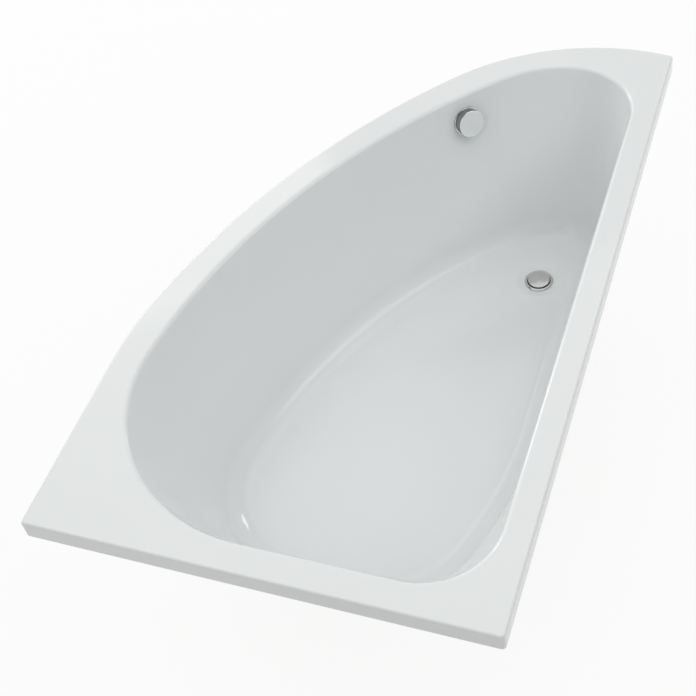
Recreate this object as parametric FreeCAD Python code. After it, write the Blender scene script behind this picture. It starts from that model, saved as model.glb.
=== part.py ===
import FreeCAD, Part
import math
import os

# Offset corner bath on a leg frame, with pop-up waste and rotary overflow.
# Millimetres. Origin on the floor under the middle of the plan box, +Z up,
# +X towards the wide end, +Y towards the long straight back side.

Vec = FreeCAD.Vector
UP = Vec(0, 0, 1)

# ---- overall size
plan_length = 1600.0
plan_width = 950.0
rim_height = 580.0
bowl_depth = 415.0

# ---- rim and lip, outside plan
lip_depth = 42.0
acrylic = 5.0
rim_edge_radius = 5.0
plan_corner_radius = 8.0
bowl_edge_radius = 11.0
front_radii = (889.0, 1816.0, 525.0)
front_turns = (13.1, 29.5)

# ---- bowl opening at the rim and bowl floor, as one loop of arcs each.
# The loop starts on the back side and runs round the narrow end, the front
# and the wide end. Each arc turns by the same angle in both loops. The radii
# are those of the narrow end, the long front and the two arcs of the wide back
# corner. The two front corners between them follow from the margins.
loop_turns = (97.4, 35.3, 40.8, 96.5, 69.0, 21.0)
opening_radii = (155.4, 1572.4, 150.0, 150.0)
opening_back_margin = 56.8
opening_start_from_end = 245.7
opening_front_margin = 69.2238
opening_wide_margin = 62.0514
floor_radii = (68.0, 1262.0, 210.0, 1050.0)
floor_back_margin = 130.0
floor_start_from_end = 308.0
floor_front_margin = 188.1661
floor_wide_margin = 232.7766
cove_radius = 46.0
cove_sections = 8

# ---- reinforcement
bond_gap = 0.3
laminate = 3.0
board_thickness = 16.0
board_inset = 16.0
board_waste_gap = 100.0
batten_width = 38.0
batten_height = 18.0
batten_clear = 3.0
back_batten_start_from_end = 160.0
back_batten_stop_from_end = 66.0
ledge_bowl_gap = 31.8104
ledge_board_thickness = 16.0
ledge_batten_gap = 37.0

# ---- leg frame
rail_width = 40.0
rail_height = 30.0
rail_wall = 2.5
wide_rail_from_end = 470.0
wide_feet_out = (80.23, 65.7)
narrow_rail_from_end = 595.0
narrow_feet_out = (85.13, 47.0)
rail_overrun = 30.0
screw_edge_margin = 45.0
screw_shank_radius = 2.2
screw_head_radius = 4.5
screw_head_height = 3.0
screw_bite = 13.0
screw_clearance = 0.2
stud_radius = 6.0
stud_above_rail = 14.0
nut_flats = 19.0
nut_height = 10.0
pad_radius = 25.0
pad_height = 20.0
pad_rim_height = 6.0
pad_neck_radius = 12.0
pad_socket_depth = 13.0
run_clearance = 0.05
slip_clearance = 0.3

# ---- waste set in the floor
waste_from_end = 410.0
waste_from_back = 240.5
recess_depth = 5.0
recess_floor_radius = 40.0
recess_rim_radius = 55.0
recess_boss_margin = 6.0
waste_hole_radius = 26.0
flange_radius = 35.0
flange_seal_thickness = 1.2
neck_outer_radius = 23.5
neck_inner_radius = 21.5
lever_top_clear = 1.7
guide_ledge = 1.2
guide_height = 4.0
guide_arm = 3.0
guide_hub_wall = 2.5
plug_radius = 27.0
plug_skirt_radius = 20.5
plug_seal_radius = 25.7
plug_travel = 12.0
stem_radius = 4.0
gasket_thickness = 3.0
body_flange_radius = 34.0
body_flange_thickness = 4.0
body_radius = 27.0
body_wall = 3.0
body_height = 68.0
body_neck_radius = 17.0
body_neck_wall = 2.0
body_neck_length = 20.0

# ---- lifter lever in its housing on the waste body
inlet_drop = 61.0
inlet_reach = 62.0
pipe_radius = 14.0
pipe_bore = 10.5
cable_in_offset = 25.0
cable_side_offset = 10.0
lever_reach = 34.0
lever_drop = 45.0
lever_plate = 6.0
lever_bar_radius = 3.5
crank_length = 9.0
lever_pin_radius = 2.0
housing_width = 16.0
housing_wall = 2.5
housing_length = 32.0

# ---- trap under the waste body
trap_radius = 42.0
trap_wall = 2.5
trap_height = 45.0
trap_body_gap = 26.0
collar_radius = 21.0
collar_height = 12.0
trap_nut_radius = 27.0
trap_nut_height = 17.0
nut_shoulder = 5.0
dip_tube_clear = 16.0
outlet_bore = 20.2
outlet_outer = 23.0
outlet_rise = 24.0
outlet_reach = 82.0
outlet_nut_radius = 29.0
outlet_nut_length = 22.0
outlet_socket_depth = 30.0
outlet_seal_length = 4.0
cap_radius = 26.0
cap_height = 6.0
cap_spigot_radius = 20.0
cap_spigot_length = 6.0

# ---- overflow on the front wall
overflow_heading = 316.2
overflow_depth = 65.4
overflow_hole_radius = 26.0
rosette_radius = 36.0
rosette_thickness = 3.0
rosette_seat = 0.8
rosette_hub_radius = 9.0
rosette_hub_length = 24.0
drip_hole_radius = 5.0
drip_hole_circle = 16.0
knob_radius = 33.5
knob_gap = 2.5
knob_height = 18.5
knob_wall = 2.0
knob_boss_radius = 9.0
spindle_radius = 5.0
chamber_radius = 31.0
chamber_wall = 2.5
chamber_length = 46.0
chamber_flange = 3.0
chamber_flange_radius = 34.0
post_radius = 5.5
post_offset = 22.5
post_hole_radius = 2.3
m5_radius = 2.2
m5_head_radius = 4.4
m5_head_height = 2.2
m5_length = 34.0
cam_radius = 8.0
cam_reach = 14.0
cam_thickness = 6.0
cam_back = 3.0
outlet_drop = 58.0
cable_nipple_radius = 5.0
cable_nipple_drop = 44.0

# ---- overflow hose and control cable
hose_crest = 14.0
hose_root = 12.2
hose_bore = 10.5
rib_pitch = 5.0
hose_bend = 70.0
hose_nut_radius = 19.0
hose_nut_length = 24.0
cable_radius = 2.5
clip_wall = 2.5
clip_width = 10.0
clip_drops = (56.6, 176.6)
clip_from_inlet = 72.13

# ---- levels that follow from the sizes above
floor_top = rim_height - bowl_depth
recess_top = floor_top - recess_depth
shell_low = floor_top - acrylic
recess_low = recess_top - acrylic
laminate_low = shell_low - bond_gap - laminate
board_low = laminate_low - board_thickness
rail_top = board_low
rail_web_low = rail_top - rail_wall
rail_low = rail_top - rail_height
deck_low = rim_height - acrylic
lever_height = floor_top - lever_drop
inlet_height = floor_top - inlet_drop

# ---- places in plan that follow from the sizes above
waste_x = waste_from_end - plan_length / 2
waste_y = plan_width / 2 - waste_from_back
waste_axis = Vec(waste_x, waste_y, 0)
board_start_x = waste_x + board_waste_gap
wide_rail_x = plan_length / 2 - wide_rail_from_end
narrow_rail_x = narrow_rail_from_end - plan_length / 2


def polar(radius, degrees):
    angle = math.radians(degrees)
    return Vec(radius * math.cos(angle), radius * math.sin(angle), 0)


def cylinder(radius, low, high, centre=Vec(0, 0, 0)):
    return Part.makeCylinder(radius, high - low, Vec(centre.x, centre.y, low), UP)


def ring(outer, inner, low, high, centre=Vec(0, 0, 0)):
    return cylinder(outer, low, high, centre).cut(cylinder(inner, low - 1, high + 1, centre))


def block(x_low, x_high, y_low, y_high, z_low, z_high):
    size = Vec(x_high - x_low, y_high - y_low, z_high - z_low)
    return Part.makeBox(size.x, size.y, size.z, Vec(x_low, y_low, z_low))


def revolve(profile, centre=Vec(0, 0, 0)):
    """Solid of revolution about Z from (radius, height) points."""
    points = [Vec(radius, 0, height) for radius, height in profile]
    points.append(points[0])
    face = Part.Face(Part.makePolygon(points))
    solid = face.revolve(Vec(0, 0, 0), UP, 360)
    solid.translate(centre)
    return solid


def hexagon_nut(flats, bore, low, high, centre):
    corner = flats / math.sqrt(3)
    points = [centre + polar(corner, 60 * side) for side in range(7)]
    wire = Part.makePolygon([Vec(point.x, point.y, low) for point in points])
    nut = Part.Face(wire).extrude(Vec(0, 0, high - low))
    bevel = Part.makeCone(corner + (high - low), corner - 1.2, high - low, Vec(centre.x, centre.y, low), UP)
    return nut.common(bevel).cut(cylinder(bore, low - 1, high + 1, centre))


def save(name, shape):
    shape.exportStep(os.path.join("parts", name + ".step"))
    print(name, len(shape.Solids), round(shape.Volume / 1000.0, 2), "cm3")


# ---------------------------------------------------------------- outlines

def arc_edge(centre, radius, start, turn, height):
    """Arc about centre from direction start (degrees), turning by turn."""
    lift = Vec(0, 0, height)
    ends = [centre + polar(radius, start + turn * part) + lift for part in (0, 0.5, 1)]
    return Part.Arc(*ends).toShape()


def front_curve():
    """Centres and start directions of the three arcs of the front edge."""
    arcs = []
    point = Vec(0, -plan_width / 2, 0)
    heading = 180.0
    turns = list(front_turns) + [0.0]
    for radius, turn in zip(front_radii, turns):
        centre = point + polar(radius, heading - 90)
        arcs.append([centre, heading + 90, turn])
        heading -= turn
        point = centre + polar(radius, heading + 90)
    shift = Vec(front_radii[-1] - plan_length / 2 - arcs[-1][0].x, 0, 0)
    return [[centre + shift, start, turn] for centre, start, turn in arcs]


def rim_wire(inset, height):
    """Outside plan of the rim, drawn in by inset."""
    back = plan_width / 2 - inset
    end = plan_length / 2 - inset
    lift = Vec(0, 0, height)
    edges = []
    arcs = front_curve()
    last_centre, last_start, _ = arcs[-1]
    last_radius = front_radii[-1] - inset
    stop = 180 - math.degrees(math.asin((back - last_centre.y) / last_radius))
    arcs[-1][2] = last_start - stop
    for radius, (centre, start, turn) in zip(front_radii, arcs):
        edges.append(arc_edge(centre, radius - inset, start, -turn, height))
    first = edges[0].Vertexes[0].Point
    if abs(first.y - (inset - plan_width / 2)) > 0.01:
        first = edges[0].Vertexes[-1].Point
    narrow_corner = last_centre + polar(last_radius, stop) + lift
    wide_back = Vec(end, back, height)
    wide_front = Vec(end, -back, height)
    edges.append(Part.makeLine(narrow_corner, wide_back))
    edges.append(Part.makeLine(wide_back, wide_front))
    edges.append(Part.makeLine(wide_front, first))
    return Part.Wire(Part.__sortEdges__(edges))


def mix(top, bottom, share):
    return top + (bottom - top) * share


def loop_radii(radii, start_from_end, back_margin, front_margin, wide_margin):
    """All six radii of a loop, with front corners that make it reach both margins."""
    narrow, front, back_first, back_last = radii
    headings = [math.radians(180 + sum(loop_turns[:count])) for count in range(4)]
    sine = [math.sin(heading) for heading in headings]
    cosine = [math.cos(heading) for heading in headings]
    run_x = plan_length - wide_margin - start_from_end
    run_x -= narrow * (sine[1] - sine[0]) + front * (sine[3] - sine[2])
    run_y = front_margin + back_margin - plan_width
    run_y -= narrow * (cosine[0] - cosine[1]) + front * (cosine[2] - cosine[3])
    first = sine[2] - sine[1], cosine[1] - cosine[2]
    second = 1 - sine[3], cosine[3] - 1
    scale = first[0] * second[1] - second[0] * first[1]
    narrow_front = (run_x * second[1] - second[0] * run_y) / scale
    wide_front = (first[0] * run_y - first[1] * run_x) / scale
    return narrow, narrow_front, front, wide_front, back_first, back_last


opening_loop = loop_radii(opening_radii, opening_start_from_end, opening_back_margin,
                          opening_front_margin, opening_wide_margin)
floor_loop = loop_radii(floor_radii, floor_start_from_end, floor_back_margin,
                        floor_front_margin, floor_wide_margin)


def ledge_leg():
    """Leg of the ledge board that leaves the gap between its long edge and the bowl."""
    corner = Vec(plan_length / 2 - acrylic - batten_clear, acrylic + batten_clear - plan_width / 2, 0)
    radius = opening_loop[3]
    x = plan_length / 2 - opening_wide_margin - radius
    y = opening_front_margin + radius - plan_width / 2
    nearest = Vec(x, y, 0) + polar(radius, 315)
    return corner.x - nearest.x + nearest.y - corner.y - math.sqrt(2) * ledge_bowl_gap


ledge_board_leg = ledge_leg()


def loop_start(share, inset):
    """Start point and radii of the bowl loop, share 0 at the rim, 1 at the floor."""
    x = mix(opening_start_from_end, floor_start_from_end, share) - plan_length / 2
    y = plan_width / 2 - mix(opening_back_margin, floor_back_margin, share) - inset
    radii = [mix(top, low, share) - inset for top, low in zip(opening_loop, floor_loop)]
    return Vec(x, y, 0), radii


def loop_arcs(share, inset):
    """Arcs of the bowl loop: centre, radius, start direction and turn."""
    point, radii = loop_start(share, inset)
    heading = 180.0
    arcs = []
    for radius, turn in zip(radii, loop_turns):
        centre = point + polar(radius, heading + 90)
        arcs.append([centre, radius, heading - 90, turn])
        heading += turn
        point = centre + polar(radius, heading - 90)
    return arcs, point


def bowl_wire(share, inset, height):
    """Closed bowl loop: the end and back lines take up what the arcs leave."""
    start, _ = loop_start(share, inset)
    arcs, loose_end = loop_arcs(share, inset)
    end_run = Vec(0, start.y - loose_end.y, 0)
    edges = []
    for index, (centre, radius, direction, turn) in enumerate(arcs):
        if index >= 4:
            centre = centre + end_run
        if index == 4:
            corner = centre + polar(radius, direction) + Vec(0, 0, height)
            edges.append(Part.makeLine(corner - end_run, corner))
        edges.append(arc_edge(centre, radius, direction, turn, height))
    lift = Vec(0, 0, height)
    edges.append(Part.makeLine(loose_end + end_run + lift, start + lift))
    return Part.Wire(edges)


def bowl_solid(offset, top_depth):
    """Bowl form whose surface lies offset outside the wet surface."""
    straight = bowl_depth - cove_radius
    wall = [bowl_wire(depth / bowl_depth, -offset, rim_height - depth) for depth in (top_depth, straight)]
    cove = []
    for step in range(cove_sections + 1):
        angle = math.pi / 2 * step / cove_sections
        reach = math.cos(angle)
        drop = math.sin(angle)
        depth = straight + cove_radius * drop
        inset = cove_radius * (1 - reach) - offset * reach
        cove.append(bowl_wire(depth / bowl_depth, inset, rim_height - depth - offset * drop))
    return Part.makeLoft(wall, True, True).fuse(Part.makeLoft(cove, True, False))


# ------------------------------------------------------------ shell and backing

def corner_edges(solid, spots):
    """Upright edges that stand at the given plan points."""
    found = []
    for edge in solid.Edges:
        low = edge.Vertexes[0].Point
        high = edge.Vertexes[-1].Point
        if abs(low.x - high.x) > 0.01 or abs(low.y - high.y) > 0.01:
            continue
        if any(abs(low.x - spot.x) < 0.5 and abs(low.y - spot.y) < 0.5 for spot in spots):
            found.append(edge)
    return found


def rim_block(inset, low, high, corner_radius):
    """Upright block on the rim plan with its three sharp corners rounded."""
    wire = rim_wire(inset, low)
    solid = Part.Face(wire).extrude(Vec(0, 0, high - low))
    back = plan_width / 2 - inset
    end = plan_length / 2 - inset
    spots = [Vec(end, back, 0), Vec(end, -back, 0)]
    spots += [vertex.Point for vertex in wire.Vertexes if vertex.Point.y > back - 0.01]
    return solid.makeFillet(corner_radius, corner_edges(solid, spots))


def level_edges(solid, height):
    """Edges that lie wholly at one height."""
    return [edge for edge in solid.Edges
            if abs(edge.BoundBox.ZMin - height) < 0.01 and abs(edge.BoundBox.ZMax - height) < 0.01]


def overflow_frame():
    """Place of the overflow: wet surface at its middle, +Z square out of the wall."""
    def wall_point(share):
        centre, radius, _, _ = loop_arcs(share, 0)[0][2]
        return centre + polar(radius, overflow_heading - 90)

    share = overflow_depth / bowl_depth
    point = wall_point(share) + Vec(0, 0, rim_height - overflow_depth)
    lean = (wall_point(1) - wall_point(0)).dot(polar(1, overflow_heading + 90)) / bowl_depth
    out = polar(1, overflow_heading + 90) + Vec(0, 0, lean)
    out.normalize()
    side = UP.cross(out)
    side.normalize()
    rise = out.cross(side)
    matrix = FreeCAD.Matrix(side.x, rise.x, out.x, point.x,
                            side.y, rise.y, out.y, point.y,
                            side.z, rise.z, out.z, point.z,
                            0, 0, 0, 1)
    return FreeCAD.Placement(matrix)


wall_frame = overflow_frame()


def on_wall(shape):
    """Move a shape built about the overflow axis to its place on the wall."""
    moved = shape.copy()
    moved.Placement = wall_frame.multiply(moved.Placement)
    return moved


def make_bath_shell():
    deck = rim_block(0, rim_height - lip_depth, rim_height, plan_corner_radius)
    deck = deck.makeFillet(rim_edge_radius, level_edges(deck, rim_height))
    under = rim_block(acrylic, rim_height - lip_depth - 1, deck_low, plan_corner_radius - acrylic)
    deck = deck.cut(under)
    outside = bowl_solid(acrylic, acrylic / 2)
    boss_radius = recess_rim_radius + recess_boss_margin
    boss = cylinder(boss_radius, recess_low, floor_top - acrylic / 2, waste_axis)
    shell = deck.fuse([outside, boss])
    shell = shell.cut(bowl_solid(0, -bowl_edge_radius))
    shell = shell.makeFillet(bowl_edge_radius, bowl_rim_edges(shell))
    dish = Part.makeCone(recess_floor_radius, recess_rim_radius, recess_depth,
                         Vec(waste_x, waste_y, recess_top), UP)
    shell = shell.cut(dish)
    shell = shell.cut(cylinder(waste_hole_radius, recess_low - 1, floor_top, waste_axis))
    shell = shell.cut(on_wall(cylinder(overflow_hole_radius, -30, 30)))
    return shell


def bowl_rim_edges(shell):
    """Sharp edges where the bowl opening cuts the flat rim."""
    reach = plan_length / 2 - 20
    return [edge for edge in level_edges(shell, rim_height)
            if edge.BoundBox.XMax < reach and edge.BoundBox.XMin > 30 - plan_length / 2
            and edge.BoundBox.YMax < plan_width / 2 - 20 and edge.BoundBox.YMin > 30 - plan_width / 2]


def make_laminate():
    inner = acrylic + bond_gap
    outer = inner + laminate
    start = acrylic + bond_gap
    shell = bowl_solid(outer, start).cut(bowl_solid(inner, start))
    boss_radius = recess_rim_radius + recess_boss_margin + 1
    shell = shell.cut(cylinder(boss_radius, laminate_low - 1, floor_top, waste_axis))
    return shell.cut(on_wall(cylinder(chamber_flange_radius + 2, -60, 0)))


def make_base_board():
    wire = bowl_wire(1, cove_radius + board_inset, board_low)
    board = Part.Face(wire).extrude(Vec(0, 0, board_thickness))
    half = plan_length / 2
    keep = block(board_start_x, half, -half, half, board_low - 1, laminate_low + 1)
    board = board.common(keep)
    for x, y in screw_places():
        board = board.cut(cylinder(screw_shank_radius, board_low - 1, board_low + screw_bite, Vec(x, y, 0)))
    return board


def make_back_batten():
    high = plan_width / 2 - acrylic - batten_clear
    start = back_batten_start_from_end - plan_length / 2
    stop = plan_length / 2 - back_batten_stop_from_end
    return block(start, stop, high - batten_width, high, deck_low - batten_height, deck_low)


def make_end_batten():
    side = plan_length / 2 - acrylic - batten_clear
    high = plan_width / 2 - acrylic - batten_clear
    low = acrylic + batten_clear - plan_width / 2 + ledge_board_leg + ledge_batten_gap
    return block(side - batten_width, side, low, high, deck_low - batten_height, deck_low)


def make_ledge_board():
    x = plan_length / 2 - acrylic - batten_clear
    y = acrylic + batten_clear - plan_width / 2
    low = deck_low - ledge_board_thickness
    corners = [Vec(x, y, low), Vec(x, y + ledge_board_leg, low), Vec(x - ledge_board_leg, y, low)]
    wire = Part.makePolygon(corners + corners[:1])
    return Part.Face(wire).extrude(Vec(0, 0, ledge_board_thickness))


# ------------------------------------------------------------------ leg frame

def board_span(x):
    """Lowest and highest y of the base board at x."""
    wire = bowl_wire(1, cove_radius + board_inset, 0)
    probe = Part.makeLine(Vec(x, -plan_width, 0), Vec(x, plan_width, 0))
    hits = [point.y for edge in wire.Edges for point in edge_crossings(edge, probe)]
    return min(hits), max(hits)


def edge_crossings(edge, probe):
    distance, pairs, _ = edge.distToShape(probe)
    if distance > 0.01:
        return []
    return [pair[0] for pair in pairs]


def screw_places():
    """Plan points of the screws that hold the rails to the board."""
    places = []
    for x in (wide_rail_x, narrow_rail_x):
        low, high = board_span(x)
        low += screw_edge_margin
        high -= screw_edge_margin
        places += [(x, low), (x, (low + high) / 2), (x, high)]
    return places


def make_rail(x, feet_y):
    low = feet_y[0] - rail_overrun
    high = feet_y[1] + rail_overrun
    half = rail_width / 2
    rail = block(x - half, x + half, low, high, rail_low, rail_top)
    inner = half - rail_wall
    rail = rail.cut(block(x - inner, x + inner, low - 1, high + 1, rail_low - 1, rail_web_low))
    upright = [edge for edge in rail.Edges if is_long_outer_edge(edge, x, half, high - low)]
    rail = rail.makeFillet(rail_wall, upright)
    for y in feet_y:
        rail = rail.cut(cylinder(stud_radius + slip_clearance, rail_low, rail_top + 1, Vec(x, y, 0)))
    hole = screw_shank_radius + screw_clearance
    for screw_x, screw_y in screw_places():
        if screw_x == x:
            rail = rail.cut(cylinder(hole, rail_low, rail_top + 1, Vec(x, screw_y, 0)))
    return rail


def is_long_outer_edge(edge, x, half, length):
    box = edge.BoundBox
    outer = abs(abs(box.XMin - x) - half) < 0.01 and abs(box.XMax - box.XMin) < 0.01
    return outer and abs(box.ZMin - rail_top) < 0.01 and box.YLength > length - 1


def make_rail_screws():
    screws = []
    for x, y in screw_places():
        centre = Vec(x, y, 0)
        shank = cylinder(screw_shank_radius, rail_web_low - 0.5, board_low + screw_bite - 1, centre)
        head = Part.makeCone(screw_head_radius - 1, screw_head_radius, screw_head_height,
                             Vec(x, y, rail_web_low - screw_head_height), UP)
        slot = block(x - screw_head_radius, x + screw_head_radius, y - 0.5, y + 0.5,
                     rail_web_low - screw_head_height - 1, rail_web_low - screw_head_height + 1.2)
        screws.append(head.fuse(shank).cut(slot))
    return Part.makeCompound(screws)


def rail_feet(x, feet_out):
    """y of the two feet of a rail, so far outside the edges of the base board."""
    low, high = board_span(x)
    return low - feet_out[0], high + feet_out[1]


def feet_places():
    wide = rail_feet(wide_rail_x, wide_feet_out)
    narrow = rail_feet(narrow_rail_x, narrow_feet_out)
    return {
        "wide_front": Vec(wide_rail_x, wide[0], 0),
        "wide_back": Vec(wide_rail_x, wide[1], 0),
        "narrow_front": Vec(narrow_rail_x, narrow[0], 0),
        "narrow_back": Vec(narrow_rail_x, narrow[1], 0),
    }


def make_foot_stud(centre):
    low = pad_height - pad_socket_depth
    high = rail_top + stud_above_rail
    stud = cylinder(stud_radius, low, high, centre)
    stud = stud.makeChamfer(1.0, level_edges(stud, high))
    slot = block(centre.x - stud_radius, centre.x + stud_radius,
                 centre.y - 0.8, centre.y + 0.8, high - 3, high + 1)
    return stud.cut(slot)


def make_foot_pad(centre):
    profile = [
        (0, 0),
        (pad_radius - 1.5, 0),
        (pad_radius, 1.5),
        (pad_radius, pad_rim_height),
        (pad_neck_radius, pad_height - 4),
        (pad_neck_radius, pad_height),
        (0, pad_height),
    ]
    pad = revolve(profile, centre)
    return pad.cut(cylinder(stud_radius, pad_height - pad_socket_depth, pad_height + 1, centre))


def make_rail_nuts():
    nuts = []
    bore = stud_radius + run_clearance
    for centre in feet_places().values():
        nuts.append(hexagon_nut(nut_flats, bore, rail_top, rail_top + nut_height, centre))
        nuts.append(hexagon_nut(nut_flats, bore, rail_web_low - nut_height, rail_web_low, centre))
    return Part.makeCompound(nuts)


# ------------------------------------------------------------------ waste set

flange_low = recess_top + flange_seal_thickness
seat_low = flange_low - 2.7
plug_edge_low = flange_low + 3.2
stem_low = lever_height + lever_bar_radius + slip_clearance
body_top = recess_low - gasket_thickness
body_low = body_top - body_height
neck_low = lever_height + lever_bar_radius + plug_travel + lever_top_clear
guide_low = neck_low + guide_ledge
trap_high = body_low - trap_body_gap
trap_low = trap_high - trap_height
outlet_height = trap_low + outlet_rise


def make_waste_flange():
    profile = [
        (neck_inner_radius - guide_ledge, neck_low),
        (neck_outer_radius, neck_low),
        (neck_outer_radius, flange_low),
        (flange_radius - 0.6, flange_low),
        (flange_radius, flange_low + 0.6),
        (flange_radius - 1.2, flange_low + 2.0),
        (flange_radius - 3.5, flange_low + 2.8),
        (flange_radius - 6.0, flange_low + 2.6),
        (flange_radius - 7.2, flange_low + 2.0),
        (neck_inner_radius, seat_low),
        (neck_inner_radius, guide_low),
        (neck_inner_radius - guide_ledge, guide_low),
    ]
    return revolve(profile, waste_axis)


def make_plug_guide():
    """Star that lies on the ledge in the neck and guides the plug stem."""
    reach = neck_inner_radius - run_clearance
    bore = stem_radius + run_clearance
    star = cylinder(bore + guide_hub_wall, guide_low, guide_low + guide_height + 2)
    for spin in (0, 60, 120):
        arm = block(-reach, reach, -guide_arm / 2, guide_arm / 2, guide_low, guide_low + guide_height)
        arm.rotate(Vec(0, 0, 0), UP, spin)
        star = star.fuse(arm)
    star = star.common(cylinder(reach, guide_low - 1, guide_low + guide_height + 3))
    star = star.cut(cylinder(bore, guide_low - 1, guide_low + guide_height + 3))
    star.translate(waste_axis)
    return star


def make_waste_flange_seal():
    return ring(flange_radius - 2, neck_outer_radius + slip_clearance, recess_top, flange_low, waste_axis)


def make_plug_cap():
    low = plug_edge_low
    skirt = plug_skirt_radius
    profile = [
        (0, low - 5),
        (7, low - 5),
        (7, low + 0.4),
        (skirt - 2, low + 0.4),
        (skirt - 2, low - 2.6),
        (skirt, low - 2.6),
        (skirt, low),
        (plug_radius - 0.5, low),
        (plug_radius, low + 0.5),
        (plug_radius, low + 1.3),
        (plug_radius - 1.0, low + 2.1),
        (plug_radius - 6, low + 3.1),
        (plug_radius - 14, low + 3.9),
        (0, low + 4.3),
    ]
    cap = revolve(profile, waste_axis)
    return cap.cut(cylinder(stem_radius, low - 6, low - 0.6, waste_axis))


def make_plug_seal():
    low = plug_edge_low - 2.4
    return ring(plug_seal_radius, plug_skirt_radius, low, plug_edge_low, waste_axis)


def make_plug_stem():
    top = plug_edge_low - 0.6
    stem = cylinder(stem_radius, stem_low, top, waste_axis)
    stem = stem.makeChamfer(0.8, level_edges(stem, stem_low))
    nut_high = plug_edge_low - 5
    nut = hexagon_nut(13.0, stem_radius, nut_high - 5, nut_high, waste_axis)
    return Part.makeCompound([stem, nut])


def make_waste_gasket():
    return ring(body_flange_radius - 1, waste_hole_radius + 1, body_top, recess_low, waste_axis)


# The hose, the cable and the lever share one upright plane through the
# overflow outlet and the waste. In its own frame that plane is y = 0: x runs
# from the outlet towards the waste.
outlet_axis = wall_frame.multVec(Vec(0, 0, -chamber_length / 2 - 13))
hose_line = Vec(waste_x - outlet_axis.x, waste_y - outlet_axis.y, 0)
hose_span = hose_line.Length
hose_angle = math.degrees(math.atan2(hose_line.y, hose_line.x))
inlet_end = hose_span - inlet_reach


def on_hose_plane(shape):
    moved = shape.copy()
    turn = FreeCAD.Rotation(UP, hose_angle)
    place = FreeCAD.Placement(Vec(outlet_axis.x, outlet_axis.y, 0), turn)
    moved.Placement = place.multiply(moved.Placement)
    return moved


def pipe_along_x(radius, x_low, x_high, height, side=0.0):
    return Part.makeCylinder(radius, x_high - x_low, Vec(x_low, side, height), Vec(1, 0, 0))


def make_waste_body():
    middle = Vec(hose_span, 0, 0)
    body = cylinder(body_radius, body_low, body_top, middle)
    body = body.fuse(cylinder(body_flange_radius, body_top - body_flange_thickness, body_top, middle))
    body = body.fuse(cylinder(body_neck_radius, body_low - body_neck_length, body_low + 1, middle))
    body = body.fuse(pipe_along_x(pipe_radius, inlet_end, hose_span, inlet_height))
    pin_x = hose_span - lever_reach
    house_low = pin_x - housing_length / 2
    side_low = cable_side_offset - housing_width / 2
    side_high = cable_side_offset + housing_width / 2
    house_floor = inlet_height + 7
    house_roof = inlet_height + cable_in_offset + 7
    body = body.fuse(block(house_low, hose_span - 10, side_low, side_high, house_floor, house_roof))
    chamber_floor = body_low + body_wall
    body = body.cut(cylinder(body_radius - body_wall, chamber_floor, body_top + 1, middle))
    bore = body_neck_radius - body_neck_wall
    body = body.cut(cylinder(bore, body_low - body_neck_length - 1, chamber_floor + 1, middle))
    body = body.cut(pipe_along_x(pipe_bore, inlet_end - 1, hose_span, inlet_height))
    body = body.cut(block(house_low + housing_wall, hose_span, side_low + housing_wall,
                          side_high - housing_wall, house_floor + housing_wall, house_roof - housing_wall))
    cable_height = inlet_height + cable_in_offset
    body = body.cut(pipe_along_x(1.2, house_low - 1, pin_x, cable_height, cable_side_offset))
    pin = Part.makeCylinder(lever_pin_radius, housing_width + 2,
                            Vec(pin_x, side_low - 1, lever_height), Vec(0, 1, 0))
    return on_hose_plane(body.cut(pin))


def make_lever_pin():
    pin_start = Vec(hose_span - lever_reach, cable_side_offset - housing_width / 2, lever_height)
    return on_hose_plane(Part.makeCylinder(lever_pin_radius, housing_width, pin_start, Vec(0, 1, 0)))


def make_lifter_lever():
    side = cable_side_offset - lever_plate / 2
    pin_x = hose_span - lever_reach

    def bar(radius, x, z, low, high):
        return Part.makeCylinder(radius, high - low, Vec(x, low, z), Vec(0, 1, 0))

    high = side + lever_plate
    lever = bar(4.5, pin_x, lever_height, side, high)
    lever = lever.fuse(block(pin_x, hose_span, side, high, lever_height - 2, lever_height + 2))
    lever = lever.fuse(bar(lever_bar_radius, hose_span, lever_height, -stem_radius, high))
    lever = lever.fuse(block(pin_x - 2, pin_x + 2, side, high, lever_height, lever_height + crank_length))
    lever = lever.fuse(bar(2.6, pin_x, lever_height + crank_length, side, high))
    lever = lever.cut(bar(lever_pin_radius + run_clearance, pin_x, lever_height, side - 1, high + 1))
    return on_hose_plane(lever)


# ----------------------------------------------------------------------- trap

collar_high = trap_high + collar_height
nut_low = collar_high - trap_nut_height + nut_shoulder + 2


def make_trap_body():
    body = cylinder(trap_radius, trap_low, trap_high, waste_axis)
    body = body.makeFillet(4.0, level_edges(body, trap_high) + level_edges(body, trap_low))
    body = body.fuse(cylinder(collar_radius, trap_high - 1, collar_high, waste_axis))
    outlet_x = waste_x - outlet_reach
    outlet_length = outlet_reach - trap_radius + 6
    outlet_start = Vec(outlet_x, waste_y, outlet_height)
    outlet = Part.makeCylinder(outlet_outer, outlet_length, outlet_start, Vec(1, 0, 0))
    body = body.fuse(outlet)
    inner = cylinder(trap_radius - trap_wall, trap_low + trap_wall, trap_high - trap_wall, waste_axis)
    bore = body_neck_radius + slip_clearance
    tube_low = trap_low + dip_tube_clear
    tube = cylinder(bore + 2, tube_low, trap_high, waste_axis)
    body = body.cut(inner.cut(tube))
    body = body.cut(cylinder(bore, tube_low - 1, collar_high + 1, waste_axis))
    socket = Part.makeCylinder(outlet_bore, outlet_socket_depth + 1,
                               Vec(outlet_x - 1, waste_y, outlet_height), Vec(1, 0, 0))
    passage_length = outlet_reach - trap_radius + 8
    passage = Part.makeCylinder(outlet_bore - 2, passage_length, outlet_start, Vec(1, 0, 0))
    body = body.cut([socket, passage])
    hole = cap_spigot_radius + slip_clearance
    return body.cut(cylinder(hole, trap_low - 1, trap_low + trap_wall + 1, waste_axis))


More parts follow.
